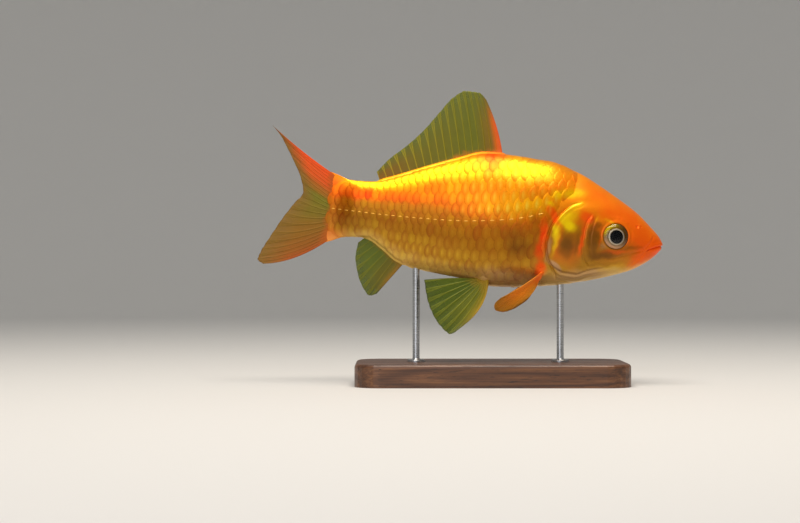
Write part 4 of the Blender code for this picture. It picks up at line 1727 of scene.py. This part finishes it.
@dataclass(frozen=True)
class FinShape:
    """One fin's outline and rays, in millimetres.

    root and edge run from the first ray to the last, and bulge is how far the first and the last
    ray bow out. spine is how stout the first ray is, leads how many edges of the fin have one, and
    sink how far the web runs on into the body. nodes are the CAD nodes of an unpaired fin, and
    left_swing is how far a paired fin's edge is moved on the left side.
    """

    name: str
    root: tuple
    edge: tuple
    bulge: tuple
    rays: int
    spine: float = 0.0
    leads: int = 1
    sink: float = 0.0
    nodes: tuple = ()
    edge_cut: float = 0.008
    swell: float = 0.42
    left_swing: tuple = (0.0, 0.0, 0.0)


FIN_SHAPES = (
    FinShape(
        "dorsal_fin",
        ((59.6, 0, 23.4), (72, 0, 20.6), (86, 0, 15.2), (101.6, 0, 9)),
        (
            (67.9, 0, 43.2), (70.8, 0.3, 45.4), (75.2, 0.6, 45.5), (79.6, 0.8, 42.6),
            (83.9, 0.8, 36.6), (88.6, 0.7, 29.8), (94, 0.5, 23.6), (99.4, 0.3, 18.4),
            (103.4, 0.1, 13.2),
        ),
        ((-0.9, 0, 0.2), (0, 0, 0.3)), 19, spine=1, nodes=("dorsal_fin",),
    ),
    FinShape(
        "anal_fin",
        ((89.4, 0, -16.8), (96, 0, -13.6), (103.8, 0, -9.2)),
        (
            (98.4, 0, -29.7), (100.8, -0.3, -30.6), (103.8, -0.6, -27.6), (106.2, -0.6, -22.4),
            (107.4, -0.4, -17), (107, -0.2, -12.4),
        ),
        ((0.3, 0, -0.4), (0.2, 0, -0.3)), 9, spine=0.8, nodes=("anal_fin",),
    ),
    FinShape(
        "tail_fin",
        (
            (117.6, 0, 10.3),
            *((117.7, 0, u) for u in (8.2, 6, 3.6, 1.2, -1.2, -3.2, -5.3, -7.4, -9.4, -11.3)),
            (117.6, 0, -12.9),
        ),
        (
            (142.2, 2.4, 25.5), (139, 2, 22.4), (135.9, 1.6, 18), (132.6, 1.2, 12.8),
            (129.9, 0.9, 8), (128.5, 0.8, 3), (131.2, 0.8, -1.2), (134.6, 0.6, -6.8),
            (138.2, 0.2, -13.8), (140.8, -0.2, -19.2), (141.7, -0.6, -22.4), (139.6, -0.8, -23.8),
        ),
        ((0, 0, -0.7), (0, 0, -2)), 22, spine=0.5, swell=0, sink=0.2, leads=2,
        nodes=("tail_fin_upper_lobe", "tail_fin_lower_lobe"),
    ),
    FinShape(
        "pelvic_fin",
        ((59.8, 5, -20), (61.6, 4.2, -20.4), (63.8, 3.4, -20)),
        (
            (68.6, 10.2, -38.4), (71.2, 10.4, -40.5), (74.8, 9.9, -38.2), (78, 9, -34.2),
            (80.4, 7.9, -29.2), (82.2, 6.6, -22.8),
        ),
        ((-2.6, 0.3, -0.8), (0, 0.3, 0.3)), 10, spine=0.5,
    ),
    FinShape(
        "pectoral_fin",
        ((40.6, 8, -14.2), (41.4, 7.4, -15.6), (42, 6.4, -17)),
        (
            (55.8, 19.6, -25.8), (57.6, 20, -28.4), (57, 19.2, -30.2), (54.6, 17.2, -30.6),
            (51.2, 14.8, -29.2), (47.6, 12.2, -26.2),
        ),
        ((0.2, 0.8, -0.8), (-0.8, 0.4, -0.9)), 14, spine=0.5, left_swing=(-2.2, 0, -0.6),
    ),
)


@dataclass
class Fin:
    """Builds a fin as a thin two-sided web with raised, branching rays."""

    shape: FinShape
    side: Side
    step: float = 0.13
    rows: int = 64
    ray_root: float = 0.19
    ray_tip: float = 0.075
    ray_lift: float = 0.13
    web_thick: float = 0.055
    spine_lift: float = 0.26
    rim_width: float = 0.35

    def surface(self, share: Array, run: Array) -> Array:
        """The fin's middle surface.

        Args:
            share: from the first ray (0) to the last (1).
            run: from the root (0) to the edge (1).
        Returns:
            The points.
        """
        shape, mirror = self.shape, np.array([1.0, self.side.value, 1.0])
        swing = np.array(shape.left_swing) * (self.side is Side.LEFT)
        root = along_line(shape.root, share) * mirror
        edge = along_line(shape.edge, share) * mirror + swing
        first = np.maximum(1 - 2 * share, 0.0)[..., None] * np.array(shape.bulge[0]) * mirror
        last = np.maximum(2 * share - 1, 0.0)[..., None] * np.array(shape.bulge[1]) * mirror
        t = run[..., None]
        middle = root + (edge - root) * t + (first + last) * 4 * t * (1 - t)
        if shape.sink:
            # The stalk's fin starts straight in the stalk and bends aside further out.
            middle[..., 1] = edge[..., 1] * np.maximum(run, 0.0) ** 2
        return middle

    def ray_relief(self, share: Array, run: Array, width: Array) -> Array:
        """How strongly each place is on a ray.

        Args:
            share: place across the fin.
            run: place from root to edge.
            width: the fin's width in millimetres at that run.
        Returns:
            1 on a ray's crest, falling to 0 on the web.
        """
        gap = 1.0 / (self.shape.rays - 1)
        radius = self.ray_root + (self.ray_tip - self.ray_root) * run
        nearest = np.round(share / gap) * gap
        spread = (share - nearest) / gap
        leading = nearest < gap * 0.5
        if self.shape.leads == 2:
            leading = leading | (nearest > 1 - gap * 0.5)
        # Every ray but the leading ones forks twice on its way to the edge.
        first, second = (
            np.where(leading, 0.0, smooth_step(start, 1.0, run) * reach)
            for start, reach in ((0.4, 0.13), (0.66, 0.06))
        )
        crest = np.zeros_like(share)
        for one in (-1, 1):
            for two in (-1, 1):
                away = np.abs(spread - one * first - two * second) * gap * width
                crest = np.maximum(crest, bump(away, radius))
        return crest

    def lift(self, share: Array, run: Array, width: Array, crest: Array) -> Array:
        """Half the fin's thickness.

        Args:
            share: place across the fin.
            run: place from root to edge.
            width: the fin's width at that run.
            crest: how strongly each place is on a ray.
        Returns:
            The thickness on each side of the middle surface.
        """
        shape, gap = self.shape, 1.0 / (self.shape.rays - 1)
        rooted = smooth_step(0.0, 0.2, run) if shape.sink else 1.0
        lead = share if shape.leads == 1 else np.minimum(share, 1 - share)
        spine = shape.spine * self.spine_lift * smooth_step(1.6 * gap, 0.0, lead)
        lift = self.web_thick + crest * (self.ray_lift * (1 - 0.6 * run)) * rooted
        lift = lift + shape.swell * (1 - smooth_step(0.0, 0.16, run))
        lift = lift + spine * (1 - 0.75 * run) * rooted
        # It thins towards the free rim.
        rays = along_line(shape.edge, share[0]) - along_line(shape.root, share[0])
        to_edge = (run[-1:] - run) * np.linalg.norm(rays, axis=-1)
        to_rim = np.minimum(to_edge, np.minimum(share, 1 - share) * width)
        return lift * (0.25 + 0.75 * smooth_step(0.0, self.rim_width, to_rim))

    def build(self, finish: Material) -> None:
        """Makes the fin.

        Args:
            finish: the fin web material.
        """
        shape = self.shape
        root_length, edge_length = (
            np.linalg.norm(np.diff(along_line(line, np.linspace(0, 1, 200)), axis=0), axis=1).sum()
            for line in (shape.root, shape.edge)
        )
        columns = int(max(edge_length, root_length) / self.step) + 1
        run_marks = np.linspace(-shape.sink, 1, self.rows)
        share, run = np.meshgrid(np.linspace(0, 1, columns), run_marks)
        width = root_length + (edge_length - root_length) * run
        crest = self.ray_relief(share, run, width)
        # Between the rays the free edge draws in a little.
        gap = 1.0 / (shape.rays - 1)
        tip = self.ray_relief(share[-1:], np.ones((1, columns)), width[-1:])
        between = np.abs(share[0] / gap - np.round(share[0] / gap)) * 2
        cut = shape.edge_cut * (between**2 * 0.8 + (1 - tip[0]) * 0.25)
        run = np.where(run > 0, run * (1 - cut), run)
        along = self.surface(share, np.minimum(run + 0.01, 1)) - self.surface(share, run - 0.01)
        after, ahead = np.minimum(share + 0.004, 1), np.maximum(share - 0.004, 0)
        across = self.surface(after, run) - self.surface(ahead, run)
        normal = unit(np.cross(along, across)) * self.side.value
        # The web bellies a little between the rays, to one side and then the other.
        wave = 0.05 * np.sin(math.pi * share / gap) * run * (1 - crest)
        middle = self.surface(share, run) + normal * wave[..., None]
        lift = normal * self.lift(share, run, width, crest)[..., None]
        plan = MeshPlan()
        chart = Chart(*(np.array(xy) for xy in ((0.03, 0.05), (0.44, 0.90), (0.5, 0.0))), 1.03)
        plan.add_plate(middle + lift, middle - lift, chart, ray=crest, run=run, share=share)
        name = shape.name if shape.nodes else f"{shape.name}_{self.side.word}"
        made = plan.build(name + "_web", finish)
        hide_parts(*(shape.nodes or (name,)))


@dataclass
class Eye:
    """One eye: a painted iris with its pupil under a clear dome."""

    form: EyeForm
    side: Side
    segments: int = 96
    # The buried back and the edge of the iris dish, as (radius, distance out).
    dish: tuple = ((2.6, -1.6), (4.2, -0.9), (4.75, 0.2), (4.6, 0.95))
    dome_foot: float = 0.95
    dome_height: float = 1.88

    def iris_profile(self) -> Array:
        """From the buried back of the eye over rim, iris, ring and lens to the middle."""
        iris, pupil = self.form.iris, self.form.pupil
        profile = [*self.dish, (iris, 1.22)]
        profile += [
            (radius, 1.25 + 0.34 * (iris - radius) / (iris - 2.87))
            for radius in np.linspace(iris - 0.05, 2.92, 12)
        ]
        profile += [
            (2.6 + 0.3 * math.cos(t), 1.60 + 0.14 * math.sin(t))
            for t in np.linspace(0.2, math.pi - 0.2, 9)
        ]
        profile += [
            (pupil * math.cos(t), 1.52 + 0.75 * math.sin(t))
            for t in np.linspace(0.0, math.pi / 2 - 0.02, 14)
        ]
        return np.array(profile)

    def dome_profile(self) -> Array:
        """The cornea, from its foot behind the rim to its top."""
        turn = np.linspace(-0.25, math.pi / 2 - 0.01, 26)
        heights = self.dome_foot + self.dome_height * np.sin(turn)
        return np.stack([self.form.ball * np.cos(turn), heights], -1)

    def add_turned(self, plan: MeshPlan, profile: Array) -> None:
        """Adds a shape turned about the gaze, closed at its middle.

        Args:
            plan: the mesh to add to.
            profile: (radius, distance out) points, ending near the middle.
        """
        form, rows, count = self.form, len(profile), self.segments
        local = turned(profile, count)
        # The pupil sits a little ahead of the eye's middle and below it.
        inward = np.maximum(1 - (profile[:, :1] / form.iris) ** 2, 0.0)
        local[..., 0] += form.pupil_ahead * inward
        local[..., 1] -= form.pupil_below * inward
        grid = form.centre(self.side) + local @ form.axes(self.side)
        points = np.concatenate([grid.reshape(-1, 3), [grid[-1].mean(0)]])
        faces = grid_faces(rows, count, closed=True)
        corners = grid_corners(rows, count, closed=True) * [1.0, 0.846] + [0.0, 0.03]
        left = self.side is Side.LEFT
        if left:
            faces, corners = faces[:, ::-1], corners[:, ::-1]
        last = (rows - 1) * count + np.arange(count)
        cap, cap_map = fan(last, rows * count, 0.876, 0.97, flipped=left)
        corners = np.concatenate([corners, cap_map]) * [0.96, 1.0] + [0.02, 0.0]
        out = np.append(np.repeat(profile[:, 0], count), 0.0) / form.iris
        turn = np.append(np.tile(2 * math.pi * np.arange(count) / count, rows), 0.0)
        plan.add(
            points, np.concatenate([faces, cap]), corners, out=out,
            high=0.5 + 0.5 * np.sin(turn) * np.minimum(out, 1),
            rear=0.5 - 0.5 * np.cos(turn) * np.minimum(out, 1),
            east=np.cos(turn), north=np.sin(turn),
        )

    def build(self, iris: Material, cornea: Material) -> None:
        """Makes the eye's two pieces.

        Args:
            iris: the painted back's material.
            cornea: the dome's material.
        """
        parts = (("iris", self.iris_profile(), iris), ("cornea", self.dome_profile(), cornea))
        for name, profile, finish in parts:
            plan = MeshPlan()
            self.add_turned(plan, profile)
            piece = plan.build(f"eye_{name}_{self.side.word}", finish)
            if name == "iris":
                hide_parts("eye_" + self.side.word)


@dataclass
class Stand:
    """The walnut base and two turned steel rods, in millimetres."""

    radius: float = 1.25
    fillet: float = 0.6
    foot_radius: float = 3.0
    foot_height: float = 1.0
    in_belly: float = 0.9
    segments: int = 64

    def build(self, walnut: Material, steel: Material) -> None:
        """Gives the base its wood and turns the rods.

        Args:
            walnut: the base's material.
            steel: the rods' material.
        """
        for slot in bpy.data.objects["stand_base"].material_slots:
            slot.material = walnut
        log.info("stand_base: walnut")
        for name in ("stand_rod_front", "stand_rod_rear"):
            self.rod(name, steel)

    def rod(self, name: str, steel: Material) -> None:
        """Turns one rod with a filleted foot, a little way into the belly.

        Args:
            name: the rod's CAD node.
            steel: its material.
        """
        low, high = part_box(name)
        radius, foot, wide = self.radius, low.z / MM, self.foot_radius
        top, neck = high.z / MM + self.in_belly, foot + self.foot_height
        profile = [
            (0.02, foot), (wide - 0.1, foot), (wide, foot + 0.1), (wide, neck - 0.2),
            (wide - 0.15, neck - 0.03),
        ]
        profile += [
            (radius + self.fillet * (1 - math.sin(t)), neck + self.fillet * (1 - math.cos(t)))
            for t in np.linspace(0, math.pi / 2, 7)
        ]
        profile += [(radius, top - 0.4), (radius - 0.35, top), (0.02, top)]
        rows, sides = len(profile), self.segments
        grid = turned(profile, sides) + [(low.x + high.x) / 2 / MM, 0.0, 0.0]
        plan = MeshPlan()
        plan.add(
            grid.reshape(-1, 3), grid_faces(rows, sides, closed=True),
            grid_corners(rows, sides, closed=True) * 0.94 + 0.03,
        )
        made = plan.build(name + "_turned", steel, tilted=False)
        made.data.set_sharp_from_angle(angle=math.radians(40))
        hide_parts(name)


@dataclass(frozen=True)
class Lamp:
    """A square soft lamp that faces the fish, in metres and watts."""

    name: str
    place: tuple
    size: float
    power: float
    tint: str
    aim: tuple = (0.0, 0.0, 0.05)

    def hang(self) -> None:
        """Adds the lamp to the scene, out of the camera's sight."""
        light = bpy.data.lights.new(self.name, "AREA")
        light.shape, light.size, light.energy = "SQUARE", self.size, self.power
        light.color = linear(self.tint)[:3]
        hung = bpy.data.objects.new(self.name, light)
        hung.location = self.place
        way = Vector(self.aim) - Vector(self.place)
        hung.rotation_euler = way.to_track_quat("-Z", "Y").to_euler()
        hung.visible_camera = False
        bpy.context.scene.collection.objects.link(hung)


@dataclass(frozen=True)
class Studio:
    """The pale seamless backdrop, the soft lamps and the camera, in metres."""

    lamps: tuple = (
        Lamp("overhead_softbox", (0.02, -0.16, 0.62), 0.45, 4.2, "#fff6ea"),
        Lamp("front_fill", (-0.25, -0.85, 0.35), 0.6, 2.2, "#f4f6ff"),
    )
    air: str = "#c4c8cc"
    air_strength: float = 0.6
    camera_place: tuple = (-0.0212, -0.70, 0.04345)
    lens: float = 88.98
    floor_radius: float = 0.85
    bend: float = 0.6
    wall_top: float = 1.5
    sides: int = 96

    def build(self, paper: Material) -> None:
        """Sets up floor, lamps, world and camera.

        Args:
            paper: the backdrop's material.
        """
        self.backdrop(paper)
        for lamp in self.lamps:
            lamp.hang()
        world = bpy.data.worlds.new("studio_air")
        world.use_nodes = True
        back = world.node_tree.nodes["Background"]
        back.inputs["Color"].default_value = linear(self.air)
        back.inputs["Strength"].default_value = self.air_strength
        scene = bpy.context.scene
        scene.world = world
        scene.view_settings.view_transform = "Standard"
        camera = bpy.data.cameras.new("camera")
        camera.lens = self.lens
        camera.clip_start, camera.clip_end = 0.01, 20.0
        seen = bpy.data.objects.new("camera", camera)
        seen.location = self.camera_place
        seen.rotation_euler = (math.radians(90.0), 0.0, 0.0)
        scene.collection.objects.link(seen)
        scene.camera = seen
        log.info("studio: backdrop, %d lamps and camera", len(self.lamps))

    def backdrop(self, paper: Material) -> None:
        """Makes the paper bowl: a round floor that curves up into a wall on every side.

        Args:
            paper: the bowl's material.
        """
        flat, bend, sides = self.floor_radius, self.bend, self.sides
        profile = [(0.02, 0.0), (0.3, 0.0), (flat, 0.0)]
        profile += [
            (flat + bend * math.sin(t), bend * (1 - math.cos(t)))
            for t in np.linspace(0.05, math.pi / 2, 24)
        ]
        profile.append((flat + bend, self.wall_top))
        grid, rows = turned(profile, sides) / MM, len(profile)
        faces, corners = (make(rows, sides, closed=True) for make in (grid_faces, grid_corners))
        plan = MeshPlan()
        plan.add(grid.reshape(-1, 3), faces[:, ::-1], corners[:, ::-1])
        # A square of paper closes the hole in the middle of the floor.
        hub = np.array([(-21, -21, -0.02), (21, -21, -0.02), (21, 21, -0.02), (-21, 21, -0.02)])
        plan.add(hub, np.array([[0, 1, 2, 3]]), np.full((1, 4, 2), 0.5))
        plan.build("paper_sweep", paper, tilted=False)


# One finish for each fin, in the order of the shapes.
FIN_WEBS = (
    FinWeb(
        "dorsal_fin_web",
        ((0.0, "#ea5600"), (0.035, "#d86000"), (0.1, "#826404"), (0.24, "#686a04"),
         (0.6, "#6e6804"), (1.0, "#865e08")),
        "#b8a424", 0.12, 0.85, "#e07000", 0.16, "#666c04",
    ),
    FinWeb(
        "anal_fin_web",
        ((0.0, "#966c06"), (0.22, "#6c6206"), (0.6, "#5c6808"), (1.0, "#5a660a")),
        "#928214", 0.4, 0.35, "#9a6c0c", 0.2, "#56620c",
    ),
    FinWeb(
        "tail_fin_web",
        ((0.0, "#ec4e00"), (0.2, "#de5402"), (0.34, "#a26204"), (0.42, "#787004"),
         (0.56, "#7c6804"), (0.7, "#8e6004"), (0.86, "#9a5a06"), (1.0, "#ac5004")),
        "#5e4a02", 0.3, 0.5, "#b25402", 0.15, "#8a6410", 0.9,
    ),
    FinWeb(
        "pelvic_fin_web",
        ((0.0, "#b08812"), (0.1, "#8e7a0a"), (0.3, "#646808"), (0.7, "#4e5e0c"),
         (1.0, "#566410")),
        "#8e8a18", 0.45, 0.4, "#aa841a", 0.22, "#4e5c14",
    ),
    FinWeb(
        "pectoral_fin_web",
        ((0.0, "#ffa628"), (0.1, "#ff8a06"), (0.5, "#fa8c06"), (1.0, "#d08610")),
        "#cc6a04", 0.4, 0.4, "#f86000", 0.3, "#9a6c0c", 0.92,
    ),
)


def main() -> None:
    """Builds the studio, the fish and its stand."""
    logging.basicConfig(level=logging.INFO, format="%(name)s: %(message)s")
    generator = np.random.default_rng(29)
    Studio().build(StudioPaper().build())
    form, relief, markings, eye = BodyForm(), HeadRelief(), Markings(), EyeForm()
    Skin(form, relief, markings, eye).build(WetSkin().build())
    horn, scales = ScaleHorn().build(), Scales(form, relief, markings)
    for side in Side:
        scales.build(side, horn, generator)
    for shape, web in zip(FIN_SHAPES, FIN_WEBS, strict=True):
        finish = web.build()
        for side in (Side.LEFT,) if shape.nodes else Side:
            Fin(shape, side).build(finish)
    iris, cornea = IrisEnamel().build(), CorneaGlass().build()
    for side in Side:
        Eye(eye, side).build(iris, cornea)
    Stand().build(OiledWalnut().build(), TurnedSteel().build())


if __name__ == "__main__":
    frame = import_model()
    main()
